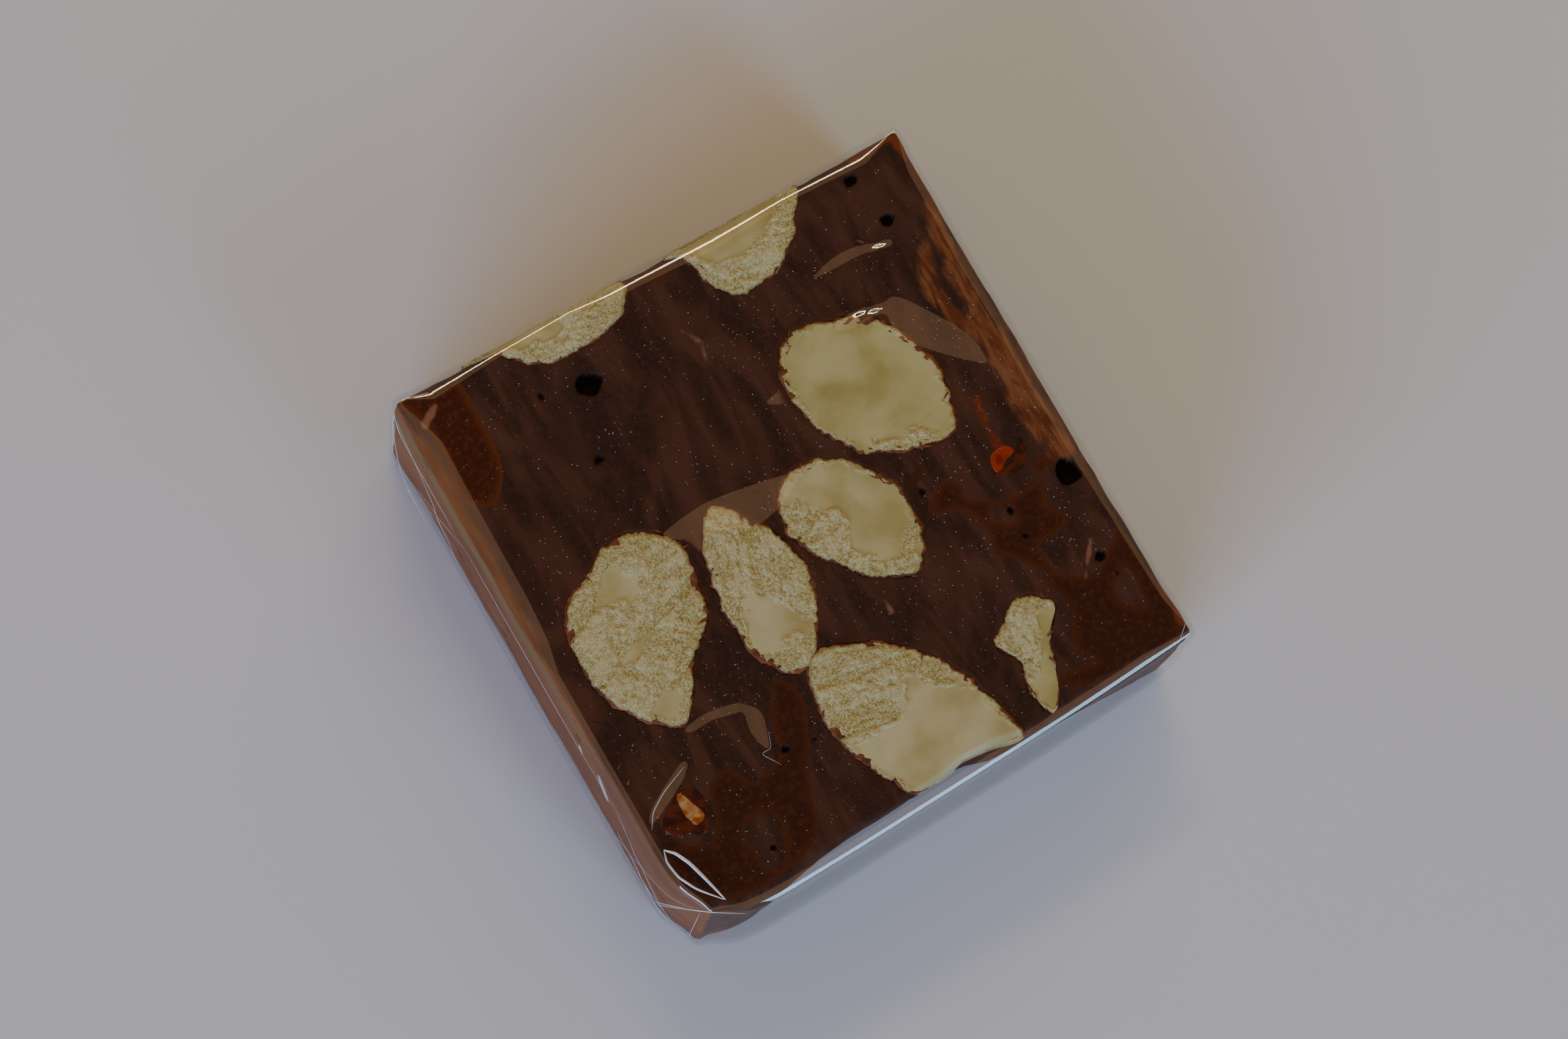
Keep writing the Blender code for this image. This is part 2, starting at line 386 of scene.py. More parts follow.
# almonds cut by the two walls that are turned away: where across, how high, long and wide, turned
wallAlmonds = {
    "rightWallAlmond1": {"wall": "right", "at": (-8.5, 8.0), "size": (12.0, 7.0), "turn": 18},
    "rightWallAlmond2": {"wall": "right", "at": (13.5, 5.6), "size": (9.0, 6.0), "turn": -28},
    "backWallAlmond": {"wall": "back", "at": (17.0, 5.4), "size": (9.5, 6.0), "turn": 10},
}

walls = {
    "top": {"origin": (0, 0, barHalf[2]), "across": (1, 0, 0), "up": (0, 1, 0)},
    "back": {"origin": (0, barHalf[1], -barHalf[2]), "across": (-1, 0, 0), "up": (0, 0, 1)},
    "right": {"origin": (barHalf[0], 0, -barHalf[2]), "across": (0, 1, 0), "up": (0, 0, 1)},
}
for wall in walls.values():
    wall["outward"] = np.cross(wall["across"], wall["up"]).astype(float)

flesh = {
    "around": 300,
    "rings": 46,
    "bodyRings": 9,
    "scallop": 0.2,  # how ragged the rim is
    "skinWidth": 0.1,
    "proud": 0.02,
    "step": 0.14,  # how far the torn flesh stands over the waxy flesh
    "highest": 0.30,  # the film presses the crumbs down to here
}


def almondLoop(size, turn):
    # an almond's outline by rule: a long egg with one pointed end
    t = np.linspace(0, 2 * math.pi, 60, endpoint=False)
    x = size[0] / 2 * np.cos(t)
    y = size[1] / 2 * np.sin(t) * (1 - 0.22 * np.cos(t)) * (1 - 0.12 * np.cos(2 * t))
    angle = math.radians(turn)
    return np.stack([x * math.cos(angle) - y * math.sin(angle), x * math.sin(angle) + y * math.cos(angle)], axis=1)


def settleAlmond(almond, number):
    # works out an almond's middle and how far its outline lies in each direction
    almond["seed"] = 100 + 29 * number
    if "outline" in almond:
        almond["wall"] = "top"
        loop = smoothLoop(almond["outline"], 12)
        loop = blockPlan(np.column_stack([loop, np.full(len(loop), barHalf[2])]))[:, :2]
    else:
        loop = almondLoop(almond["size"], almond["turn"]) + np.array(almond["at"])
        almond["depth"], almond["grain"], almond["cream"] = 0.42 * almond["size"][1], almond["turn"], 0.6
        almond["waxy"] = [(0.62 * (loop - almond["at"]) + almond["at"]).tolist()]
    almond["middle"] = (loop.min(axis=0) + loop.max(axis=0)) / 2
    around = loop - almond["middle"]
    angles = np.arctan2(around[:, 1], around[:, 0])
    order = np.argsort(angles)
    almond["angles"], almond["reach"] = angles[order], np.linalg.norm(around, axis=1)[order]


def reachAt(almond, angles):
    reach = np.interp(angles, almond["angles"], almond["reach"], period=2 * math.pi)
    rim = np.column_stack([np.cos(angles) * reach, np.sin(angles) * reach, np.zeros(len(angles))])
    ragged = noise(rim, 1.0, almond["seed"]) + 0.5 * noise(rim, 0.4, almond["seed"] + 1)
    return reach + flesh["scallop"] * (ragged + 0.3 * noise(rim, 0.17, almond["seed"] + 2))


def skinWidth(almond, angles):
    # the brown skin is cut thick in places and is gone in others
    circle = np.column_stack([np.cos(angles), np.sin(angles), np.zeros(len(angles))]) * 5
    return flesh["skinWidth"] * (1 + 0.9 * noise(circle, 1.3, almond["seed"] + 3)
                                 + 0.9 * noise(circle, 0.35, almond["seed"] + 4))


def toWall(points, wall):
    # a block point's place across and up a wall, and its height over it
    away = points - np.array(wall["origin"])
    return away @ np.array(wall["across"]), away @ np.array(wall["up"]), away @ wall["outward"]


def fromWall(across, up, height, wall):
    return (np.array(wall["origin"]) + np.outer(across, wall["across"]) + np.outer(up, wall["up"])
            + np.outer(height, wall["outward"]))


def insideAlmond(points, almond):
    # how far inside an almond's skin block points are; negative is outside
    across, up, height = toWall(points, walls[almond["wall"]])
    east, north = across - almond["middle"][0], up - almond["middle"][1]
    distance = np.hypot(east, north)
    reach = reachAt(almond, np.arctan2(north, east)) + flesh["skinWidth"]
    deep = np.clip(-height / almond["depth"], 0, 0.999)
    inside = reach * np.sqrt(1 - deep**2) - distance
    return np.where(-height > almond["depth"], -1.0, inside)


def tornShare(almond, across, up, share):
    # 1 where the flesh is torn and crumbly, 0 where the knife left it smooth
    flat = np.column_stack([across, up, np.zeros(len(across))])
    angle = math.radians(almond["grain"])
    along = across * math.cos(angle) + up * math.sin(angle)
    sideways = up * math.cos(angle) - across * math.sin(angle)
    fibres = np.column_stack([along / 3.5, sideways, np.zeros(len(across))])
    if "torn" in almond:
        depth = np.max([areaDepth(flat, area) for area in almond["torn"]], axis=0)
    else:
        depth = -np.max([areaDepth(flat, area) for area in almond["waxy"]], axis=0)
    wander = 0.35 * noise(flat, 0.9, almond["seed"] + 5) + 0.4 * noise(fibres, 0.33, almond["seed"] + 6)
    torn = smoothStep(-0.14, 0.14, depth + wander * 0.8)
    rim = smoothStep(0.91, 0.965, share + 0.08 * noise(flat, 0.6, almond["seed"] + 9))
    return np.maximum(torn, 0.8 * rim * (share < 1.5))


def fleshRelief(almond, across, up, share, torn):
    # how far the cut face stands over the block
    angle = math.radians(almond["grain"])
    along = across * math.cos(angle) + up * math.sin(angle)
    sideways = up * math.cos(angle) - across * math.sin(angle)
    flat = np.column_stack([across, up, np.zeros(len(across))])
    fibres = np.column_stack([along / 2.6, sideways, np.zeros(len(across))])
    splits = np.column_stack([along / 9.0, sideways, np.zeros(len(across))])
    crown = 0.10 * (1 - share**4)
    smooth = 0.05 * noise(flat, 3.2, almond["seed"] + 11) + 0.02 * np.abs(noise(splits, 1.6, almond["seed"] + 12))
    crumbs = 0.07 * noise(fibres, 0.34, almond["seed"] + 14) + 0.03 * noise(fibres, 0.18, almond["seed"] + 18)
    crumbs += 0.06 * noise(flat, 0.5, almond["seed"] + 15) + 0.07 * noise(flat, 0.24, almond["seed"] + 16)
    rough = flesh["step"] + 0.08 * noise(flat, 1.7, almond["seed"] + 13) + crumbs * smoothStep(0, 0.12, share)
    rough -= 0.14 * smoothStep(0.3, 0.65, noise(splits, 0.9, almond["seed"] + 17))
    rim = smoothStep(0.95, 1, share)
    relief = flesh["proud"] + crown + smooth * (1 - torn) + rough * torn * (1 - 0.7 * rim) - 0.05 * rim
    return np.minimum(relief, flesh["highest"])


def discFaces(around, count):
    # a closed round body: a middle point, rings out and down the body, a bottom point
    turns = np.arange(around)
    after = (turns + 1) % around
    faces = [[0, 1 + i, 1 + j] for i, j in zip(turns.tolist(), after.tolist())]
    for ring in range(count - 1):
        inner, outer = 1 + ring * around, 1 + (ring + 1) * around
        faces += np.stack([inner + turns, outer + turns, outer + after, inner + after], axis=1).tolist()
    last = 1 + (count - 1) * around
    faces += [[last + j, last + i, last + around] for i, j in zip(turns.tolist(), after.tolist())]
    return faces


def almondBody(almond, widen, around, rings, bodyRings):
    # points of a closed almond, flat on its wall and rounded below, in the true block's place
    angles = np.linspace(0, 2 * math.pi, around, endpoint=False)
    reach = reachAt(almond, angles) + widen * skinWidth(almond, angles) / flesh["skinWidth"]
    turns = np.arange(1, bodyRings + 1) / (bodyRings + 1) * math.pi / 2
    flatShares = 1 - (1 - np.arange(1, rings + 1) / rings) ** 1.15
    spreads = np.concatenate([flatShares, np.cos(turns)])
    sinks = np.concatenate([np.zeros(rings), np.sin(turns)]) * (almond["depth"] + widen)
    shares = np.concatenate([flatShares, 1 + np.arange(1, bodyRings + 1) / bodyRings])
    across = almond["middle"][0] + np.outer(spreads, reach * np.cos(angles)).ravel()
    up = almond["middle"][1] + np.outer(spreads, reach * np.sin(angles)).ravel()
    across = np.concatenate([almond["middle"][:1], across, almond["middle"][:1]])
    up = np.concatenate([almond["middle"][1:], up, almond["middle"][1:]])
    height = -np.concatenate([[0], np.repeat(sinks, around), [almond["depth"] + widen]])
    share = np.concatenate([[0], np.repeat(shares, around), [2]])
    return fromWall(across, up, height, walls[almond["wall"]]), across, up, share


def buildAlmond(name, almond, material):
    points, across, up, share = almondBody(almond, 0.0, flesh["around"], flesh["rings"], flesh["bodyRings"])
    settled, outward, outside = ontoBlock(points)
    onWall = outside | (share < 1.001)
    # a body cut by a second wall shows its inside there too
    torn = tornShare(almond, across, up, np.where(share <= 1, share, 0.55))
    down = points[:, 2] * (share > 1)
    relief = fleshRelief(almond, across + down, up, np.where(share <= 1, share, 0.55), torn)
    lift = np.where(onWall, relief, -flesh["proud"])
    outward = np.where(outside[:, None], outward, walls[almond["wall"]]["outward"])
    placed = barPlan(settled + outward * lift[:, None]) + barCentre
    layers = {"torn": torn * onWall, "rim": np.clip(share, 0, 1), "cream": np.full(len(points), almond["cream"]),
              "height": relief}
    return makePiece(name, placed, discFaces(flesh["around"], flesh["rings"] + flesh["bodyRings"]), [material], layers)


def buildSkins(every, material):
    allPoints, allFaces, start = [], [], 0
    for almond in every:
        points, across, up, share = almondBody(almond, flesh["skinWidth"], 240, 14, 8)
        settled, outward, outside = ontoBlock(points)
        flat = np.column_stack([across, up, np.zeros(len(across))])
        lift = np.where(outside | (share < 1.001), 0.03 + 0.05 * noise(flat, 0.5, almond["seed"] + 21), 0)
        lift -= 0.25 * (share < 0.85)
        outward = np.where(outside[:, None], outward, walls[almond["wall"]]["outward"])
        allPoints.append(barPlan(settled + outward * lift[:, None]) + barCentre)
        allFaces += [[index + start for index in face] for face in discFaces(240, 22)]
        start += len(points)
    return makePiece("almondSkins", np.concatenate(allPoints), allFaces, [material])


allAlmonds = {**almonds, **wallAlmonds}
for number, almond in enumerate(allAlmonds.values()):
    settleAlmond(almond, number)

# bubbles cut open: x, y, radius, depth
pits = [(-9, 18.5, 1.05, 1.3), (22, -7.5, 1.1, 1.4), (20, 18.5, 0.55, 0.8), (19, 23, 0.5, 0.7), (-11.5, 12.5, 0.35, 0.5),
        (-13, 19.5, 0.3, 0.4), (20.5, -15, 0.45, 0.6), (16, -8, 0.3, 0.6), (-15.5, -22.5, 0.3, 0.5),
        (-10.5, -16, 0.3, 0.6), (10.5, -3, 0.3, 0.4), (16, -10.5, 0.25, 0.4), (-8, -16.5, 0.2, 0.3),
        (21, -17, 0.2, 0.3)]

# where the film clings and the nougat looks wet: how red it is there, and the outline
wetAreas = [
    (1.0, [(-18.5, 25), (-18.5, 17), (-20, 14), (-21.5, 13.5), (-23, 15), (-22.5, 19), (-23, 23.5), (-24, 24.5),
           (-21, 25.5)]),
    (0.5, [(-8.5, -10.5), (-7, -12.5), (-8, -15.5), (-10.5, -20), (-12, -23.5), (-18, -25), (-22.5, -23.5), (-24, -21),
           (-23, -18.5), (-20, -19.5), (-18.5, -18.5), (-17.5, -15.5), (-15.5, -15), (-14, -17), (-11, -16),
           (-10.5, -14)]),
    (0.5, [(23, -14), (23.5, -17), (23, -24), (16, -24.5), (12, -23), (12.5, -22), (15.5, -22.5), (14.5, -21),
            (16, -17.5), (15.5, -14), (19, -16), (22, -14.5)]),
    (0.6, [(10, -4.5), (12.5, -3), (13.5, -4), (13.5, -5.5), (16.5, -7), (19.5, -7), (19, -9), (20, -10.5),
            (19, -11.5), (16.5, -12), (16.5, -15), (14.5, -12), (13, -10.5), (13.5, -8), (12.5, -6), (11, -5.5)]),
    (0.3, [(9.5, -2), (11, -1), (11.5, -1.5), (10, -2.5)]),
    (0.6, [(23, -5.5), (21, -6.5), (19.5, -6.5), (20, -5.5), (22.5, -5)]),
]
dryPockets = [
    [(-15, -19.5), (-17, -20.5), (-16.5, -24), (-15, -23.5), (-14, -21)],
    [(22, -17), (21.5, -20.5), (20, -19), (20.5, -17.5)],
    [(15, -7), (16, -7.5), (16, -9), (14.5, -8.5), (14.5, -7.5)],
]
# smears of lighter cocoa butter: width, and the line each follows
ochreStreaks = [
    (1.4, [(21.5, 15), (20, 12), (20.5, 9), (22, 5.5)]),
    (1.5, [(23.5, 17.5), (22.5, 11), (22.5, 5)]),
    (2.3, [(22.5, 5.5), (22, 0), (22.5, -5.5)]),
]
rimStreaks = [
    (1.5, [(24.5, 25), (25, 9), (24.5, 2), (24.5, -15), (24, -23)]),
    (1.6, [(20.5, 25), (24.5, 25), (24.5, 22.5)]),
]
emberStreaks = [(0.8, [(18.5, 1.5), (18, -1), (18, -3)])]
paleSmears = [
    (0.5, [(-21, 23), (-22.5, 22)]),
    (0.5, [(0, 18.5), (1, 17), (0.5, 15.5)]),
    (0.4, [(3, -9.5), (3, -10.5)]),
    (0.4, [(20.5, -13.5), (18.5, -16)]),
]


def nougatRelief(points):
    # the unevenness left by the knife
    smear = points @ np.array([[0.16, 0.9, 0], [-0.14, 0.45, 0], [0, 0, 1]])
    relief = 0.09 * noise(points, 6.5, 1) + 0.05 * noise(points, 2.2, 2) + 0.03 * noise(smear, 0.9, 3)
    return relief + 0.018 * noise(points, 0.8, 4) + 0.010 * noise(points, 0.42, 5)


def pitDepth(points, pit):
    away = points[:, :2] - np.array(pit[:2])
    distance = np.linalg.norm(away, axis=1)
    around = np.column_stack([away / np.maximum(distance, 1e-6)[:, None], np.zeros(len(away))])
    radius = pit[2] * (1 + 0.16 * noise(around, 0.9, int(pit[2] * 100)))
    return pit[3] * np.sqrt(np.clip(1 - (distance / radius) ** 2, 0, 1)) ** 0.6


def gatherAtRims(points, onTop):
    # draws the grid's points to the bubbles' rims, so that small holes have clean edges
    for pit in pits:
        away = points[:, :2] - np.array(pit[:2])
        distance = np.maximum(np.linalg.norm(away, axis=1), 1e-6)
        offset = (distance - pit[2]) / (0.5 * pit[2])
        close = onTop & (np.abs(offset) < 1)
        gathered = pit[2] * (1 + 0.5 * np.sign(offset) * np.abs(offset) ** 1.5)
        points[close, :2] = np.array(pit[:2]) + away[close] * (gathered / distance)[close, None]
    return points


def wallBubbles():
    random = np.random.default_rng(5)
    ways = {"front": (0, -1, 0), "back": (0, 1, 0), "left": (-1, 0, 0), "right": (1, 0, 0)}
    bubbles = []
    for way in map(np.array, ways.values()):
        for _ in range(9):
            along = np.cross(way, (0, 0, 1)) * random.uniform(-0.9, 0.9)
            place = (way + along) * barHalf + np.array([0, 0, random.uniform(-6, 6)])
            bubbles.append((place, random.uniform(0.2, 0.6), way))
    return bubbles


def rednessAt(points):
    return np.max([redness * (areaDepth(points, area) > -0.6) for redness, area in wetAreas], axis=0)


def wetDepth(points):
    wet = np.max([areaDepth(points, area) for _, area in wetAreas], axis=0)
    wet = np.minimum(wet, -np.max([areaDepth(points, pocket) for pocket in dryPockets], axis=0))
    return wet + 0.10 * noise(flatten(points), 0.9, 41) + 0.05 * noise(flatten(points), 0.35, 42)


def strokesDepth(points, strokes, seed):
    depth = np.max([strokeDepth(points, line, width) for width, line in strokes], axis=0)
    return depth + 0.22 * noise(flatten(points), 1.2, seed) + 0.10 * noise(flatten(points), 0.4, seed + 1)


def wallStripe(points):
    # an ochre stripe along the left wall
    middle = 12.4 + 0.9 * np.sin(points[:, 1] * 0.13) + 0.5 * noise(points * (0, 1, 0), 3.0, 51)
    band = 1.3 - np.abs(points[:, 2] - middle) + 0.4 * noise(points, 1.0, 52)
    return np.where(points[:, 0] < -20, band - 3 * smoothStep(-4, -14, points[:, 1]), -1.6)


def buildBar(material):
    places = [edgePlaces(barHalf[axis], step, 5)
              for axis, step in enumerate((bar["topStep"], bar["topStep"], bar["wallStep"]))]
    points, faces = boxSkin(places, bar["bottomSkip"])
    points, outward = roundBox(points, barHalf, barRadii(np.clip(points, -1, 1)))
    inside = np.max([insideAlmond(points, almond) for almond in allAlmonds.values()], axis=0)
    placed = barPlan(points) + barCentre
    onTop = outward[:, 2] > 0.9
    placed = gatherAtRims(placed, onTop)
    lift = nougatRelief(placed)
    edge = 1 - np.max(np.abs(outward), axis=1)
    lift += edge * (0.5 * noise(placed, 1.7, 7) - 0.1)
    lift = np.where(outward[:, 2] < -0.9, 0.4 * lift, lift)
    depth = np.zeros(len(points))
    for pit in pits:
        depth = np.maximum(depth, np.where(onTop, pitDepth(placed, pit), 0))
    for place, radius, way in wallBubbles():
        distance = np.linalg.norm(points - place, axis=1)
        hole = radius * np.sqrt(np.clip(1 - (distance / radius) ** 2, 0, 1)) ** 0.6
        depth = np.maximum(depth, np.where(outward @ way > 0.8, hole, 0))
    depth = np.where(inside > -0.3, 0, depth)
    # nougat wells up a little against the almonds, and is hollow under them
    lift += 0.05 * np.exp(-((inside + 0.3) / 0.25) ** 2) - depth - 0.9 * smoothStep(0.10, 0.32, inside)
    placed = placed + outward * lift[:, None]
    upper = outward[:, 2] > 0.25
    layers = {
        "wet": np.where(upper, wetDepth(placed), -1.6),
        "redness": rednessAt(placed),
        "ochre": np.where(upper, strokesDepth(placed, ochreStreaks, 43), wallStripe(placed)),
        "rimStreak": np.where(upper, strokesDepth(placed, rimStreaks, 45),
                              3.5 - np.linalg.norm(placed - np.array([-22.7, -24.0, 0]), axis=1)),
        "pale": np.where(upper, strokesDepth(placed, paleSmears, 47), -1.6),
        "ember": np.where(upper, strokesDepth(placed, emberStreaks, 49), -1.6),
        # painted shade: the bubble holes are painted darker the deeper they go
        "pit": np.clip(depth / 0.35, 0, 1),
        "side": 1 - smoothStep(0.5, 0.9, outward[:, 2]),
        # painted light: the left wall, where the side window falls, is painted brighter and more orange than the other
        # walls
        "paintedLitSide": smoothStep(0.2, 0.7, -outward[:, 0]),
        "almondNear": np.clip(inside, -1.6, 0.5),
    }
    return makePiece("nougatBar", placed, faces, [material], layers)


def topHeight(flat):
    # the height of the cut nougat at places given from above
    points = blockPlan(np.column_stack([flat, np.full(len(flat), barHalf[2])]))
    points[:, 2] = barHalf[2]
    placed = barPlan(points) + barCentre
    return placed[:, 2] + nougatRelief(placed)


# flat facets of the taut film: outline, and how far their faces lean along x and y
facets = [
    ([(17, 12.5), (19, 10), (21, 6.5), (21, 4), (20, 4), (16.5, 7.5), (15, 9.5), (15.5, 11)], (0.12, 0.06)),
    ([(11, 12.5), (13, 13), (15.5, 12.5), (13, 11.5)], (0.0, 0.11)),
    ([(-10, 4.5), (-7.5, 5), (-4.5, 5), (2, 3.5), (-0.5, 1.5), (-3.5, 1), (-6.5, 2.5), (-9, 0.5), (-9.5, 3)], (0.0, 0.14)),
    ([(11.5, 17), (14, 18), (16, 18), (18, 17), (14.5, 16.8)], (0.0, 0.11)),
    ([(9, 14.5), (12, 15.2), (12.7, 14.9), (10, 14)], (0.0, 0.08)),
    ([(-12, -12), (-11.5, -11.5), (-10.5, -12), (-10.5, -13), (-11.5, -15), (-12, -15.2), (-12.5, -13.5)], (-0.12, -0.03)),
    ([(-17, -10.5), (-15, -10.2), (-12, -10.8), (-12.5, -11.5), (-14.5, -11), (-16.5, -11.2)], (0.0, -0.11)),
    ([(-18.5, -12.8), (-21, -14), (-23.3, -15.3), (-23.2, -16.2), (-21, -15.1), (-18.7, -13.8)], (0.09, -0.16)),
    ([(-9.5, -22.5), (-8, -22.5), (-6.5, -23.5), (-7, -24.5), (-12, -25), (-12.5, -24), (-11.5, -23)], (0.0, -0.09)),
    ([(7, -23), (9, -22.5), (12, -23.5), (14, -24.5), (14, -25), (9, -24.5), (7, -24)], (0.0, -0.09)),
    ([(23, 17.5), (23.5, 13), (23.5, 0), (23, -7), (22.5, -13.5), (22, -13), (22, -7), (22.5, 0), (22, 4),
      (22.5, 10.5)], (0.10, 0.0)),
    ([(18.5, -24), (20, -24.5), (21, -25), (19.5, -25)], (0.0, -0.10)),
    ([(-23, -18), (-22.5, -17), (-20.5, -17), (-22, -18)], (0.0, -0.10)),
    ([(3, 10), (5, 10.5), (5, 8.5), (3.5, 9)], (0.0, 0.14)),
    ([(17.4, 16.9), (18, 17.1), (19, 16.6), (18.3, 16.6)], (0.0, 0.60)),
    ([(12.9, 12.7), (13.6, 12.8), (14.1, 12.5), (13.5, 12.4)], (0.0, 0.60)),
    ([(14.3, 12.3), (15, 12.3), (15.7, 11.8), (15, 11.9)], (0.0, 0.60)),
]
facetField = {"size": 64.0, "count": 400, "soft": 0.12}


def facetHeights():
    # the height that best follows the facets' slopes, worked out over a square field
    size, count = facetField["size"], facetField["count"]
    line = (np.arange(count) / count - 0.5) * size
    x, y = np.meshgrid(line, line, indexing="ij")
    flat = np.column_stack([x.ravel(), y.ravel()])
    slope = np.zeros((count * count, 2))
    for outline, lean in facets:
        share = smoothStep(-facetField["soft"], facetField["soft"], areaDepth(flat, outline))
        slope = slope * (1 - share[:, None]) - share[:, None] * np.array(lean)
    waves = np.fft.fft2(slope.reshape(count, count, 2), axes=(0, 1))
    turns = 2 * math.pi * np.fft.fftfreq(count, d=size / count)
    along, across = np.meshgrid(turns, turns, indexing="ij")
    square = np.maximum(along**2 + across**2, 1e-9)
    height = -1j * (along * waves[:, :, 0] + across * waves[:, :, 1]) / square
    height[0, 0] = 0
    return np.real(np.fft.ifft2(height))


facetHeight = facetHeights()


def readField(field, flat):
    # the height of the field at places given from above
    place = (flat / facetField["size"] + 0.5) * facetField["count"]
    whole = np.clip(np.floor(place).astype(int), 0, facetField["count"] - 2)
    part = place - whole
    total = np.zeros(len(flat))
    for i, j in np.ndindex(2, 2):
        share = (part[:, 0] if i else 1 - part[:, 0]) * (part[:, 1] if j else 1 - part[:, 1])
        total += share * field[whole[:, 0] + i, whole[:, 1] + j]
    return total


def buildFilm(material):
    upper = np.clip(filmOutward[:, 2], 0, 1) ** 2
    points = filmPoints
    flat = flatten(points)
    wave = 0.04 * noise(flat, 9.0, 61) + 0.014 * noise(flat, 4.0, 62) + readField(facetHeight, points[:, :2])
    points[:, 2] += (wave * insideShare(filmPlain, packHalf, 12) - pack["sag"] * insideShare(filmPlain, packHalf, 4)) * upper
    # the walls are not quite flat either
    side = np.max(np.abs(filmOutward[:, :2]), axis=1) > 0.9
    ripple = 0.05 * noise(points * (1, 1, 0.5), 5.0, 63) + 0.02 * noise(points * (1, 1, 0.3), 1.8, 64)
    points[:, :2] += (ripple * side)[:, None] * filmOutward[:, :2]
    ends = np.flatnonzero(np.abs(filmOutward[:, 0]) > 0.95)
    points[ends, 0] += filmOutward[ends, 0] * foldRelief(points[ends, 1:])
    below = filmOutward[:, 2] < -0.9
    points[:, 2] += np.where(below, pack["lap"] * smoothStep(pack["seam"], pack["seam"] - 0.3, points[:, 1]), 0)
    return makePiece("filmWrap", points, filmFaces, [material])


def filmHeight(flat):
    top = filmPoints[filmOutward[:, 2] > 0.05]
    return np.array([top[np.argmin(np.sum((top[:, :2] - place) ** 2, axis=1)), 2] for place in flat])


# the envelope folds on both ends: how far each stands off the end, and its outline along y and z
flaps = {
    "tuckFront": (0.06, [(-24.4, 15.6), (-24.4, 1.2), (-13.5, 8.2), (-13.5, 8.6)]),
    "tuckBack": (0.06, [(24.4, 15.6), (24.4, 1.2), (13.5, 8.2), (13.5, 8.6)]),
    "upper": (0.10, [(-23.8, 15.4), (-12.3, 3.9), (12.3, 3.9), (23.8, 15.4)]),
    "lower": (0.14, [(-23.8, 1.5), (-12.3, 13.0), (12.3, 13.0), (23.8, 1.5)]),
}
foldSoft = 0.14


def foldRelief(spots):
    # how far the folded film stands off an end, at places along y and z
    lift = np.zeros(len(spots))
    for offset, outline in flaps.values():
        distance, held = edgeDistance(spots, np.array(outline), True)
        lift += offset * smoothStep(-foldSoft, foldSoft, np.where(held, distance, -distance))
    return lift


def endPlace(end, spots, away):
    # points that far off an end of the pack, at places along y and z
    plain = np.column_stack([np.full(len(spots), end * packHalf[0]), spots[:, 0], spots[:, 1] - packHalf[2]])
    placed = wrapPlan(plain) + np.array([0, 0, packHalf[2]])
    placed[:, 0] += end * (foldRelief(placed[:, 1:]) + away)
    return placed


# folds and creases in the film: thickness, and the line each follows; places without a height lie on the top
creases = [
    (0.3, [(-23.4, -18.3), (-22.7, -19), (-22.1, -20.3), (-21.6, -22.2), (-21.1, -24.3)]),
    (0.2, [(-23.4, -18.3), (-23.7, -19.3), (-23.5, -20.8), (-22.7, -22.4), (-21.2, -24.2)]),
    (0.09, [(-24.75, -20.2, 4.4), (-24.7, -21.2, 9), (-23.9, -23.4, 15.6), (-22.3, -24.7, 16.3), (-20.2, -26, 16.3)]),
    (0.07, [(-24.7, -20.8, 6), (-24.5, -22, 11), (-23.2, -24, 16)]),
    (0.07, [(-24.95, -18, 7.5), (-24.95, -19.5, 7.6), (-24.8, -22, 8.5)]),
    (0.03, [(-11, -14), (-11.5, -15.4), (-12.5, -15.4), (-11.5, -17)]),
    (0.2, [(-24.5, -10, 14), (-24.6, -12, 11.6)]),
    (0.14, [(-24.5, -9.8, 13.4), (-24.6, -11.8, 11.4)]),
    (0.08, [(-18.5, -13.2), (-21, -14.2), (-22.6, -15.2), (-23.4, -16.4)]),
    (0.14, [(-24.55, -6.9, 13.4), (-24.6, -7.7, 12.8)]),
    (0.06, [(-24.2, 24.4, 16.2), (-24.7, 23.6, 13.6), (-25, 22, 8), (-25, 20.5, 5), (-25, 17, 4)]),
    (0.05, [(-24.3, 24.2, 16.1), (-24.6, 22.5, 14.8), (-24.7, 13.5, 14.4)]),
    (0.07, [(24.3, -23.6, 16.2), (24.35, -24.4, 14), (24.2, -24.6, 2)]),
    (0.05, [(23.9, -23.2), (22.2, -24.6)]),
]


def traceCreases():
    # the creases as bare lines, thin at their ends
    points, edges, thickness = [], [], []
    folds = []
    for end in (-1, 1):
        for _, outline in flaps.values():
            for start, stop in zip(outline, outline[1:]):
                share = np.linspace(0, 1, 14)[:, None]
                spots = np.array(start) + share * (np.array(stop) - np.array(start))
                folds.append((0.05, endPlace(end, spots, 0.0).tolist()))
    for width, line in creases + folds:
        line = np.array([place if len(place) == 3 else (*place, 0.0) for place in line], dtype=float)
        steps = np.linspace(0, len(line) - 1, 8 * (len(line) - 1) + 1)
        fine = np.column_stack([np.interp(steps, np.arange(len(line)), line[:, axis]) for axis in range(3)])
        for _ in range(3):
            fine[1:-1] = (fine[:-2] + 2 * fine[1:-1] + fine[2:]) / 4
        onTop = fine[:, 2] == 0
        if onTop.any():
            fine[onTop, 2] = filmHeight(fine[onTop, :2])
        start = len(points)
        points += fine.tolist()
        edges += [(start + k, start + k + 1) for k in range(len(fine) - 1)]
        share = np.linspace(-1, 1, len(fine))
        thickness += (mm * width / 2 * np.sqrt(1 - 0.96 * share**2)).tolist()
    return np.array(points), edges, thickness


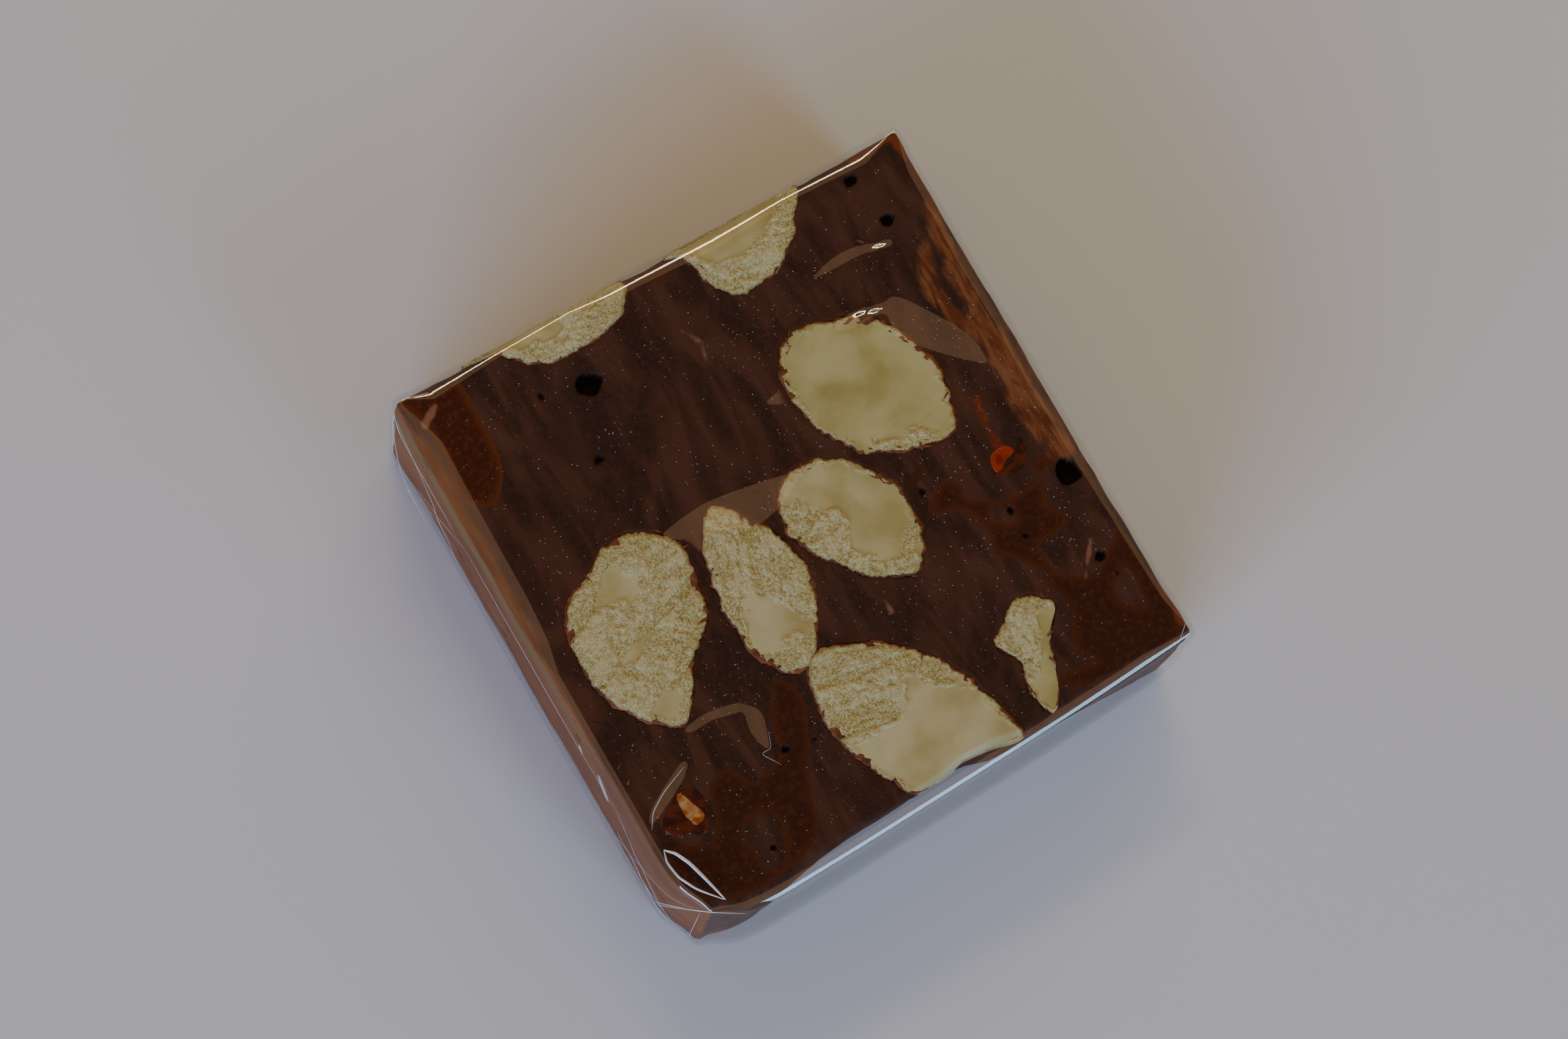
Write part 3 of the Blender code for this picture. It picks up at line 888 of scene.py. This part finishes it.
def geometryTree(name, inputs):
    # an empty node tree with one mesh in, the named settings, and one mesh out
    tree = bpy.data.node_groups.new(name, "GeometryNodeTree")
    tree.interface.new_socket("Geometry", in_out="INPUT", socket_type="NodeSocketGeometry")
    for label, kind in inputs.items():
        tree.interface.new_socket(label, in_out="INPUT", socket_type="NodeSocket" + kind)
    tree.interface.new_socket("Geometry", in_out="OUTPUT", socket_type="NodeSocketGeometry")
    return tree


def placeNode(tree, kind, **inputs):
    node = tree.nodes.new(kind)
    for label, value in inputs.items():
        socket = node.inputs[label.replace("_", " ")]
        if isinstance(value, bpy.types.NodeSocket):
            tree.links.new(value, socket)
        else:
            socket.default_value = value
    return node


def finishTree(tree, mesh, material):
    whole = placeNode(tree, "GeometryNodeRealizeInstances", Geometry=mesh)
    smooth = placeNode(tree, "GeometryNodeSetShadeSmooth", Geometry=whole.outputs[0])
    painted = placeNode(tree, "GeometryNodeSetMaterial", Geometry=smooth.outputs[0], Material=material)
    placeNode(tree, "NodeGroupOutput", Geometry=painted.outputs[0])
    return tree


def creaseTree():
    # sweeps a round section along bare lines, as thick as their points say
    tree = geometryTree("sweepCreases", {"Material": "Material", "Sides": "Int"})
    given = tree.nodes.new("NodeGroupInput")
    curve = placeNode(tree, "GeometryNodeMeshToCurve", Mesh=given.outputs["Geometry"])
    thickness = placeNode(tree, "GeometryNodeInputNamedAttribute", Name="thickness")
    section = placeNode(tree, "GeometryNodeCurvePrimitiveCircle", Resolution=given.outputs["Sides"], Radius=1.0)
    swept = placeNode(tree, "GeometryNodeCurveToMesh", Curve=curve.outputs[0], Profile_Curve=section.outputs[0],
                      Scale=thickness.outputs[0], Fill_Caps=True)
    return finishTree(tree, swept.outputs[0], given.outputs["Material"])


def scatterTree(kind):
    # sets a small lump or flake on each given point, turned and sized at random
    tree = geometryTree("scatter" + kind, {"Material": "Material", "Seed": "Int", "Smallest": "Float",
                                           "Largest": "Float"})
    given = tree.nodes.new("NodeGroupInput")
    if kind == "Lumps":
        shape = placeNode(tree, "GeometryNodeMeshIcoSphere", Radius=1.0, Subdivisions=1)
    else:
        shape = placeNode(tree, "GeometryNodeMeshCube", Size=(2.0, 0.5, 0.16))
    turn = tree.nodes.new("FunctionNodeRandomValue")
    turn.data_type = "FLOAT_VECTOR"
    turn.inputs[0].default_value = (-0.25, -0.25, 0.0)
    turn.inputs[1].default_value = (0.25, 0.25, 2 * math.pi)
    tree.links.new(given.outputs["Seed"], turn.inputs["Seed"])
    turned = placeNode(tree, "FunctionNodeEulerToRotation", Euler=turn.outputs[0])
    size = tree.nodes.new("FunctionNodeRandomValue")
    tree.links.new(given.outputs["Smallest"], size.inputs[2])
    tree.links.new(given.outputs["Largest"], size.inputs[3])
    tree.links.new(given.outputs["Seed"], size.inputs["Seed"])
    spread = placeNode(tree, "GeometryNodeInstanceOnPoints", Points=given.outputs["Geometry"],
                       Instance=shape.outputs[0], Rotation=turned.outputs[0], Scale=size.outputs[1])
    return finishTree(tree, spread.outputs[0], given.outputs["Material"])


def growPiece(piece, tree, settings):
    # runs the tree on a piece, and keeps the plain mesh that comes out
    grow = piece.modifiers.new("grow", "NODES")
    grow.node_group = tree
    for item in tree.interface.items_tree:
        if item.in_out == "INPUT" and item.name in settings:
            grow[item.identifier] = settings[item.name]
    grown = bpy.data.meshes.new_from_object(piece.evaluated_get(bpy.context.evaluated_depsgraph_get()))
    piece.modifiers.remove(grow)
    piece.data = grown
    return piece


def onBarTop(count, seed):
    # settled random places on the cut face, away from almonds, pits and the very edge
    random = np.random.default_rng(seed)
    flat = random.uniform(-1, 1, (count, 2)) * (barHalf[:2] - 1.6)
    flat = barPlan(np.column_stack([flat, np.full(count, barHalf[2])]))[:, :2]
    block = blockPlan(np.column_stack([flat, np.full(count, barHalf[2])]))
    block[:, 2] = barHalf[2]
    clear = np.max([insideAlmond(block, almond) for almond in almonds.values()], axis=0) < -0.15
    for x, y, radius, _ in pits:
        clear &= np.hypot(flat[:, 0] - x, flat[:, 1] - y) > 1.2 * radius
    return flat[clear]


def buildSpecks(material):
    # fine sugar dust, thickest where the film does not cling
    flat = onBarTop(5400, 81)
    points = np.column_stack([flat, np.zeros(len(flat))])
    chance = np.random.default_rng(82).uniform(0, 1, len(flat))
    share = 0.45 + 0.5 * cloud(points, 5.0, 2, 83)
    share = np.where(wetDepth(points) > 0, 0.15, share)
    points = points[chance < share]
    points[:, 2] = topHeight(points[:, :2]) + 0.01
    piece = makePiece("sugarSpecks", points, [], [])
    settings = {"Material": material, "Seed": 7, "Smallest": 0.014 * mm, "Largest": 0.056 * mm}
    return growPiece(piece, scatterTree("Lumps"), settings)


def buildFlakes(material):
    # slivers of brown skin round the almonds, and a few between them
    random = np.random.default_rng(91)
    spots = []
    for almond in almonds.values():
        angles = random.uniform(-math.pi, math.pi, 9)
        away = reachAt(almond, angles) + random.uniform(-0.5, 0.25, 9)
        flat = almond["middle"] + np.column_stack([np.cos(angles), np.sin(angles)]) * away[:, None]
        settled, outward, _ = ontoBlock(np.column_stack([flat, np.full(9, barHalf[2])]))
        keep = outward[:, 2] > 0.9
        spots.append((barPlan(settled) + barCentre + (0, 0, 0.17))[keep])
    loose = np.array([(-20.5, 4), (-21, 3), (-22.5, 1.5), (-23, -5), (-23, -6.5), (-22.5, -9.5), (-23, -10.5), (-23, -12),
                      (17, 18)])
    spots.append(np.column_stack([loose, topHeight(loose) + 0.03]))
    piece = makePiece("skinFlakes", np.concatenate(spots), [], [])
    settings = {"Material": material, "Seed": 3, "Smallest": 0.12 * mm, "Largest": 0.34 * mm}
    return growPiece(piece, scatterTree("Flakes"), settings)


# bits of caramel in the nougat: outline, how deep, how far proud
caramelBits = {
    "paleBit": ([(-20, -14.7), (-19.2, -16.2), (-19, -17.5), (-20, -18), (-20.7, -16.5)], 0.8, 0.10, 1.0),
    "darkBit": ([(-19, -14.5), (-18.3, -16.5), (-19, -18.5), (-20.5, -18.5), (-22.5, -17), (-21, -15)], 1.0, 0.05, 0.05),
    "redBit": ([(17, -3.2), (18.4, -3), (19, -3.8), (17.8, -4.2), (17, -5), (16.6, -4.2)], 0.8, 0.08, 0.5),
    "rimBit": ([(20, -3), (19.5, -5), (18, -5.6), (16.2, -4.8), (17.2, -5), (18.5, -4.7), (19.5, -3.7)], 0.6, 0.10, 0.0),
}


def buildCaramel(material):
    allPoints, allFaces, pales, start = [], [], [], 0
    around, rings, bodyRings = 96, 10, 5
    for number, (outline, depth, proud, pale) in enumerate(caramelBits.values()):
        loop = smoothLoop(outline, 12)
        middle = loop.mean(axis=0)
        steps = np.concatenate([[0], np.cumsum(np.linalg.norm(np.roll(loop, -1, 0) - loop, axis=1))])
        wanted = np.linspace(0, steps[-1], around, endpoint=False)
        closed = np.vstack([loop, loop[:1]])
        rim = np.column_stack([np.interp(wanted, steps, closed[:, axis]) for axis in (0, 1)]) - middle
        turns = np.arange(1, bodyRings + 1) / (bodyRings + 1) * math.pi / 2
        shares = np.concatenate([np.arange(1, rings + 1) / rings, np.cos(turns)])
        sinks = np.concatenate([np.zeros(rings), np.sin(turns) * depth])
        flat = middle + np.concatenate([[[0, 0]], (shares[:, None, None] * rim).reshape(-1, 2), [[0, 0]]])
        sink = np.concatenate([[0], np.repeat(sinks, around), [depth]])
        share = np.concatenate([[0], np.repeat(shares, around), [0]])
        bulge = proud * (1 - share**3) + 0.03 * noise(np.column_stack([flat, sink]), 0.9, 95 + number)
        height = topHeight(flat) + np.where(sink > 0, -sink, bulge)
        allPoints.append(np.column_stack([flat, height]))
        faces = discFaces(around, rings + bodyRings)
        area = np.sum(rim[:, 0] * np.roll(rim[:, 1], -1) - rim[:, 1] * np.roll(rim[:, 0], -1))
        if area < 0:
            faces = [face[::-1] for face in faces]
        allFaces += [[index + start for index in face] for face in faces]
        pales += [pale] * len(flat)
        start += len(flat)
    return makePiece("caramelBits", np.concatenate(allPoints), allFaces, [material], {"pale": pales})


def newMaterial(name):
    material = bpy.data.materials.new(name)
    material.use_nodes = True
    material.node_tree.nodes.clear()
    return material, material.node_tree


def addNode(tree, kind, settings=None, **inputs):
    node = tree.nodes.new("ShaderNode" + kind)
    for key, value in (settings or {}).items():
        setattr(node, key, value)
    for key, value in inputs.items():
        join(tree, value, node.inputs[key.replace("_", " ")])
    return node


def join(tree, value, socket):
    # links a value that comes from a node, and sets one that does not
    if isinstance(value, bpy.types.NodeSocket):
        tree.links.new(value, socket)
    else:
        socket.default_value = value


def tone(red, green, blue):
    # a colour given as 0 to 255 on a screen, as the shader wants it
    def linear(value):
        value /= 255
        return value / 12.92 if value <= 0.04045 else ((value + 0.055) / 1.055) ** 2.4
    return (linear(red), linear(green), linear(blue), 1.0)


def mixColour(tree, share, first, second):
    node = addNode(tree, "Mix", {"data_type": "RGBA"})
    for index, value in ((0, share), (6, first), (7, second)):
        join(tree, value, node.inputs[index])
    return node.outputs[2]


def mixNumber(tree, share, first, second):
    node = addNode(tree, "Mix", {"data_type": "FLOAT"})
    for index, value in ((0, share), (2, first), (3, second)):
        join(tree, value, node.inputs[index])
    return node.outputs[0]


def calculate(tree, operation, first, second):
    node = addNode(tree, "Math", {"operation": operation})
    join(tree, first, node.inputs[0])
    join(tree, second, node.inputs[1])
    return node.outputs[0]


def noiseAt(tree, place, size, detail=3.0, distortion=0.0):
    # noise whose lumps are size millimetres wide
    node = addNode(tree, "TexNoise", Vector=place, Scale=1 / (size * mm), Detail=detail, Distortion=distortion)
    return node.outputs["Fac"]


def ramp(tree, value, low, high, start=0.0, end=1.0):
    node = addNode(tree, "MapRange", {"interpolation_type": "SMOOTHSTEP"}, Value=value)
    for label, number in (("From Min", low), ("From Max", high), ("To Min", start), ("To Max", end)):
        node.inputs[label].default_value = number
    return node.outputs["Result"]


def readLayer(tree, name):
    return addNode(tree, "Attribute", {"attribute_name": name}).outputs["Fac"]


def finishMaterial(material, tree, shader):
    output = addNode(tree, "OutputMaterial")
    tree.links.new(shader.outputs[0], output.inputs["Surface"])
    return material


def nougatMaterial():
    material, tree = newMaterial("chocolateNougat")
    place = addNode(tree, "TexCoord").outputs["Object"]
    smeared = addNode(tree, "Mapping", Vector=place, Rotation=(0, 0, 0.5), Scale=(1.0, 0.28, 1.0)).outputs[0]
    fineNoise = noiseAt(tree, place, 0.35, 4.0)
    fine = ramp(tree, fineNoise, 0.35, 0.7)
    swirl = ramp(tree, noiseAt(tree, smeared, 3.4, 4.0, 1.6), 0.35, 0.68)
    dull = mixColour(tree, swirl, tone(54, 33, 23), tone(86, 52, 37))
    dull = mixColour(tree, calculate(tree, "MULTIPLY", fine, 0.4), dull, tone(80, 50, 37))
    # the wet-looking areas are deep brown, and orange-brown towards their rims
    mottle = noiseAt(tree, place, 0.5, 4.0)
    depth = readLayer(tree, "wet")
    edge = calculate(tree, "ADD", depth, calculate(tree, "MULTIPLY", calculate(tree, "SUBTRACT", fineNoise, 0.5), 0.25))
    wetShare = ramp(tree, edge, -0.05, 0.07)
    deepness = ramp(tree, calculate(tree, "ADD", depth, calculate(tree, "SUBTRACT", mottle, 0.5)), 0.0, 0.8)
    redness = readLayer(tree, "redness")
    rusty = mixColour(tree, deepness, tone(98, 48, 22), tone(70, 30, 15))
    rusty = mixColour(tree, calculate(tree, "MULTIPLY", ramp(tree, mottle, 0.45, 0.7), 0.5), rusty, tone(108, 54, 25))
    deep = mixColour(tree, ramp(tree, mottle, 0.4, 0.7), tone(52, 30, 19), tone(66, 38, 24))
    wet = mixColour(tree, redness, deep, rusty)
    colour = mixColour(tree, wetShare, dull, wet)
    streaky = addNode(tree, "Mapping", Vector=place, Rotation=(0, 0, 0.12), Scale=(1.0, 0.2, 1.0)).outputs[0]
    veins = noiseAt(tree, streaky, 0.6, 4.0, 0.8)
    ochreDepth = calculate(tree, "ADD", readLayer(tree, "ochre"), calculate(tree, "SUBTRACT", veins, 0.5))
    ochreShare = ramp(tree, ochreDepth, -0.25, 0.5)
    ochre = mixColour(tree, ramp(tree, veins, 0.35, 0.65), tone(100, 52, 26), tone(134, 82, 48))
    colour = mixColour(tree, ochreShare, colour, ochre)
    colour = mixColour(tree, calculate(tree, "MULTIPLY", ramp(tree, readLayer(tree, "pale"), -0.1, 0.25), 0.7),
                       colour, tone(160, 110, 84))
    ember = ramp(tree, readLayer(tree, "ember"), -0.2, 0.6)
    colour = mixColour(tree, ember, colour, mixColour(tree, fine, tone(112, 42, 16), tone(134, 62, 28)))
    side = readLayer(tree, "side")
    sideColour = mixColour(tree, swirl, tone(70, 38, 25), tone(92, 54, 37))
    # painted light: the left wall gets a brighter, more orange copy of the wall colour
    paintedLitColour = mixColour(tree, swirl, tone(118, 60, 22), tone(142, 80, 30))
    paintedLitColour = mixColour(tree, ochreShare, paintedLitColour, tone(124, 88, 28))
    sideColour = mixColour(tree, readLayer(tree, "paintedLitSide"), sideColour, paintedLitColour)
    colour = mixColour(tree, side, colour, sideColour)
    rimShare = ramp(tree, readLayer(tree, "rimStreak"), -0.2, 0.3)
    colour = mixColour(tree, calculate(tree, "MULTIPLY", rimShare, 0.85), colour, tone(124, 62, 28))
    close = ramp(tree, readLayer(tree, "almondNear"), -0.35, -0.05)
    colour = mixColour(tree, calculate(tree, "MULTIPLY", close, 0.35), colour, tone(92, 52, 30))
    # painted shade: the bubble holes turn near black with their depth
    colour = mixColour(tree, readLayer(tree, "pit"), colour, tone(26, 14, 9))
    roughness = mixNumber(tree, wetShare, 0.65, 0.45)
    bump = addNode(tree, "Bump", Height=noiseAt(tree, place, 0.16, 3.0), Strength=0.35, Distance=0.04 * mm)
    shader = addNode(tree, "BsdfPrincipled", Base_Color=colour, Roughness=roughness, Specular_IOR_Level=0.08,
                     Normal=bump.outputs[0])
    return finishMaterial(material, tree, shader)


def fleshMaterial():
    material, tree = newMaterial("almondFlesh")
    place = addNode(tree, "TexCoord").outputs["Object"]
    torn, cream = readLayer(tree, "torn"), readLayer(tree, "cream")
    cloudy = ramp(tree, noiseAt(tree, place, 4.5, 3.0, 0.2), 0.3, 0.7)
    waxy = mixColour(tree, cloudy, tone(166, 152, 82), tone(196, 187, 128))
    creamy = mixColour(tree, cloudy, tone(180, 162, 102), tone(208, 197, 152))
    waxy = mixColour(tree, cream, waxy, creamy)
    crumb = ramp(tree, noiseAt(tree, place, 0.16, 6.0), 0.36, 0.64)
    crumbly = mixColour(tree, crumb, tone(160, 144, 80), tone(214, 202, 146))
    # painted highlight: the crumbs are painted whiter the higher they stand
    high = ramp(tree, readLayer(tree, "height"), 0.12, 0.46)
    crumbly = mixColour(tree, calculate(tree, "MULTIPLY", high, 0.75), crumbly, tone(232, 224, 182))
    colour = mixColour(tree, torn, waxy, crumbly)
    rim = calculate(tree, "MULTIPLY", ramp(tree, readLayer(tree, "rim"), 0.95, 1.0), 0.4)
    colour = mixColour(tree, rim, colour, tone(150, 100, 56))
    bump = addNode(tree, "Bump", Height=noiseAt(tree, place, 0.14, 4.0), Strength=mixNumber(tree, torn, 0.12, 1.0),
                   Distance=0.13 * mm)
    shader = addNode(tree, "BsdfPrincipled", Base_Color=colour, Roughness=mixNumber(tree, torn, 0.42, 0.8),
                     Specular_IOR_Level=0.3, Subsurface_Weight=0.35, Subsurface_Radius=(1.0, 0.8, 0.45),
                     Subsurface_Scale=0.7 * mm, Normal=bump.outputs[0])
    return finishMaterial(material, tree, shader)


def skinMaterial():
    material, tree = newMaterial("almondSkin")
    place = addNode(tree, "TexCoord").outputs["Object"]
    blotch = ramp(tree, noiseAt(tree, place, 0.9, 4.0), 0.3, 0.7)
    colour = mixColour(tree, blotch, tone(86, 42, 22), tone(140, 80, 42))
    bump = addNode(tree, "Bump", Height=noiseAt(tree, place, 0.25, 3.0), Strength=0.5, Distance=0.06 * mm)
    shader = addNode(tree, "BsdfPrincipled", Base_Color=colour, Roughness=0.6, Specular_IOR_Level=0.3,
                     Normal=bump.outputs[0])
    return finishMaterial(material, tree, shader)


def speckMaterial():
    material, tree = newMaterial("sugarDust")
    place = addNode(tree, "TexCoord").outputs["Object"]
    colour = mixColour(tree, ramp(tree, noiseAt(tree, place, 3.0), 0.35, 0.65), tone(170, 152, 138), tone(206, 198, 190))
    shader = addNode(tree, "BsdfPrincipled", Base_Color=colour, Roughness=0.5)
    return finishMaterial(material, tree, shader)


def caramelMaterial():
    material, tree = newMaterial("amberCaramel")
    place = addNode(tree, "TexCoord").outputs["Object"]
    pale = readLayer(tree, "pale")
    blotch = ramp(tree, noiseAt(tree, place, 1.1, 2.0, 0.4), 0.38, 0.62)
    deep = mixColour(tree, blotch, tone(50, 18, 10), tone(92, 34, 14))
    red = mixColour(tree, blotch, tone(122, 26, 6), tone(166, 46, 10))
    light = mixColour(tree, blotch, tone(176, 74, 16), tone(206, 160, 96))
    colour = mixColour(tree, ramp(tree, pale, 0.0, 0.5), deep, red)
    colour = mixColour(tree, ramp(tree, pale, 0.5, 1.0), colour, light)
    bump = addNode(tree, "Bump", Height=noiseAt(tree, place, 0.3, 3.0), Strength=0.4, Distance=0.05 * mm)
    shader = addNode(tree, "BsdfPrincipled", Base_Color=colour, Roughness=0.28,
                     Specular_IOR_Level=0.3, Subsurface_Weight=0.3, Subsurface_Radius=(1.0, 0.4, 0.15),
                     Subsurface_Scale=0.5 * mm, Normal=bump.outputs[0])
    return finishMaterial(material, tree, shader)


def clearMaterial(name, least, most, roughness, glintWhiteness):
    # thin clear film that throws back a share of the light, the same share from either side
    material, tree = newMaterial(name)
    place = addNode(tree, "TexCoord").outputs["Object"]
    facing = addNode(tree, "LayerWeight", Blend=0.5).outputs["Facing"]
    grazing = calculate(tree, "POWER", facing, 5.0)
    thrown = calculate(tree, "MULTIPLY_ADD", grazing, most - least)
    thrown.node.inputs[2].default_value = least
    tint = mixColour(tree, ramp(tree, noiseAt(tree, place, 9.0), 0.3, 0.7), (0.975, 0.975, 0.97, 1), (0.96, 0.96, 0.96, 1))
    clear = addNode(tree, "BsdfTransparent", Color=tint)
    gloss = addNode(tree, "BsdfGlossy", Color=(1, 1, 1, 1), Roughness=roughness)
    sheet = addNode(tree, "MixShader", Fac=thrown)
    tree.links.new(clear.outputs[0], sheet.inputs[1])
    tree.links.new(gloss.outputs[0], sheet.inputs[2])
    if glintWhiteness:
        # painted highlight: a white diffuse share makes the creases show as bright lines, standing in for their glints
        paintedGlintWhite = addNode(tree, "BsdfDiffuse", Color=tone(236, 238, 242))
        glintWhitened = addNode(tree, "MixShader", Fac=glintWhiteness)
        tree.links.new(sheet.outputs[0], glintWhitened.inputs[1])
        tree.links.new(paintedGlintWhite.outputs[0], glintWhitened.inputs[2])
        sheet = glintWhitened
    return finishMaterial(material, tree, sheet)


def tableMaterial():
    material, tree = newMaterial("paleTable")
    place = addNode(tree, "TexCoord").outputs["Object"]
    colour = mixColour(tree, noiseAt(tree, place, 60, 2.0), tone(202, 202, 202), tone(206, 206, 206))
    shader = addNode(tree, "BsdfPrincipled", Base_Color=colour, Roughness=0.5)
    return finishMaterial(material, tree, shader)


nougatPaint, fleshPaint, skinPaint = nougatMaterial(), fleshMaterial(), skinMaterial()
speckPaint, caramelPaint, tablePaint = speckMaterial(), caramelMaterial(), tableMaterial()
filmPaint = clearMaterial("clearFilm", 0.1, 0.16, 0.012, 0.0)
# the creases' film carries a painted highlight: a white diffuse share
creasePaint = clearMaterial("creasedFilm", 0.3, 1.0, 0.1, 0.4)

nougatPiece = buildBar(nougatPaint)
print("nougat", len(nougatPiece.data.polygons))
almondPieces = [buildAlmond(name, almond, fleshPaint) for name, almond in allAlmonds.items()]
skinPieces = [buildSkins(allAlmonds.values(), skinPaint), buildFlakes(skinPaint)]
print("almonds", len(almondPieces))
caramelPiece = buildCaramel(caramelPaint)
speckPiece = buildSpecks(speckPaint)
print("specks", len(speckPiece.data.polygons))
filmPieces = [buildFilm(filmPaint)]
creasePoints, creaseEdges, creaseThickness = traceCreases()
creasePiece = makePiece("filmCreases", creasePoints, [], [], {"thickness": creaseThickness}, creaseEdges)
filmPieces.append(growPiece(creasePiece, creaseTree(), {"Material": creasePaint, "Sides": 10}))
print("film", sum(len(piece.data.polygons) for piece in filmPieces))

for pieces, slot in (([nougatPiece, speckPiece], "nougat"), (almondPieces + skinPieces, "almond"),
                     ([caramelPiece], "caramel"), (filmPieces, "film")):
    for piece in pieces:
        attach(piece, "root")
        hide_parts(packNode)

tableMesh = bpy.data.meshes.new("table")
tableSide = 3.0
tableCorners = [(-tableSide, -tableSide, 0), (tableSide, -tableSide, 0), (tableSide, tableSide, 0),
                (-tableSide, tableSide, 0)]
tableMesh.from_pydata(tableCorners, [], [(0, 1, 2, 3)])
tableMesh.materials.append(tablePaint)
table = bpy.data.objects.new("table", tableMesh)
bpy.context.collection.objects.link(table)

view = {
    "turn": -50.9, "height": 75.8, "roll": 20.8,  # degrees
    "distance": 383.0, "aim": (-0.92, 0.49, 17.0),
    "lens": 70.0, "sensor": 23.6,
}


def addCamera():
    turn, height, roll = (math.radians(view[key]) for key in ("turn", "height", "roll"))
    back = Vector((math.sin(turn) * math.cos(height), -math.cos(turn) * math.cos(height), math.sin(height)))
    level = Vector((math.cos(turn), math.sin(turn), 0))
    upright = back.cross(level)
    right = math.cos(roll) * level + math.sin(roll) * upright
    up = math.cos(roll) * upright - math.sin(roll) * level
    data = bpy.data.cameras.new("camera")
    data.lens, data.sensor_width, data.sensor_fit = view["lens"], view["sensor"], "HORIZONTAL"
    data.clip_start = 0.01
    camera = bpy.data.objects.new("camera", data)
    bpy.context.collection.objects.link(camera)
    aim = Vector((np.array(view["aim"]) + standing) * mm)
    turned = Matrix((right, up, back)).transposed().to_4x4()
    camera.matrix_world = Matrix.Translation(aim + back * view["distance"] * mm) @ turned
    bpy.context.scene.camera = camera


# two cool windows and a small warm lamp: place, width and height, watts, colour
lights = {
    "frontWindow": ((0.22, -0.955, 0.5), (0.32, 0.55), 4.2, (0.4, 0.7, 1.0)),
    "sideWindow": ((-0.9, -0.52, 0.38), (0.75, 0.4), 13.0, (0.37, 0.57, 1.0)),
    "warmLamp": ((0.23, 0.72, 0.93), (0.3, 0.1), 1.8, (1.0, 0.87, 0.55)),
    "backLamp": ((0.46, 0.46, 0.46), (0.5, 0.35), 1.0, (1.0, 0.78, 0.4)),
}


def addLight(name, place, size, power, colour):
    data = bpy.data.lights.new(name, "AREA")
    data.shape = "RECTANGLE"
    data.size, data.size_y = size
    data.energy = power
    data.color = colour
    light = bpy.data.objects.new(name, data)
    bpy.context.collection.objects.link(light)
    light.location = place
    light.rotation_euler = (-Vector(place)).to_track_quat("-Z", "Y").to_euler()


# a warm room whose ceiling is dark right over the table
room = {
    "ceiling": (0.56, 0.32, 0.17, 1),
    "walls": (0.19, 0.18, 0.15, 1),
    "dark": (0.19, 0.155, 0.969),
    "darkSpread": 9.0,  # degrees
}


def addRoom():
    world = bpy.data.worlds.new("room")
    bpy.context.scene.world = world
    world.use_nodes = True
    tree = world.node_tree
    way = addNode(tree, "TexCoord").outputs["Generated"]
    height = addNode(tree, "SeparateXYZ", Vector=way).outputs["Z"]
    colour = mixColour(tree, ramp(tree, height, 0.6, 0.85), room["walls"], room["ceiling"])
    toDark = addNode(tree, "VectorMath", {"operation": "DOT_PRODUCT"})
    tree.links.new(way, toDark.inputs[0])
    toDark.inputs[1].default_value = room["dark"]
    rim = math.cos(math.radians(room["darkSpread"]))
    shade = ramp(tree, toDark.outputs["Value"], rim - 0.0015, rim + 0.0015)
    background = tree.nodes["Background"]
    tree.links.new(mixColour(tree, shade, colour, (0.006, 0.006, 0.008, 1)), background.inputs["Color"])


addCamera()
for name, settings in lights.items():
    addLight(name, *settings)
addRoom()
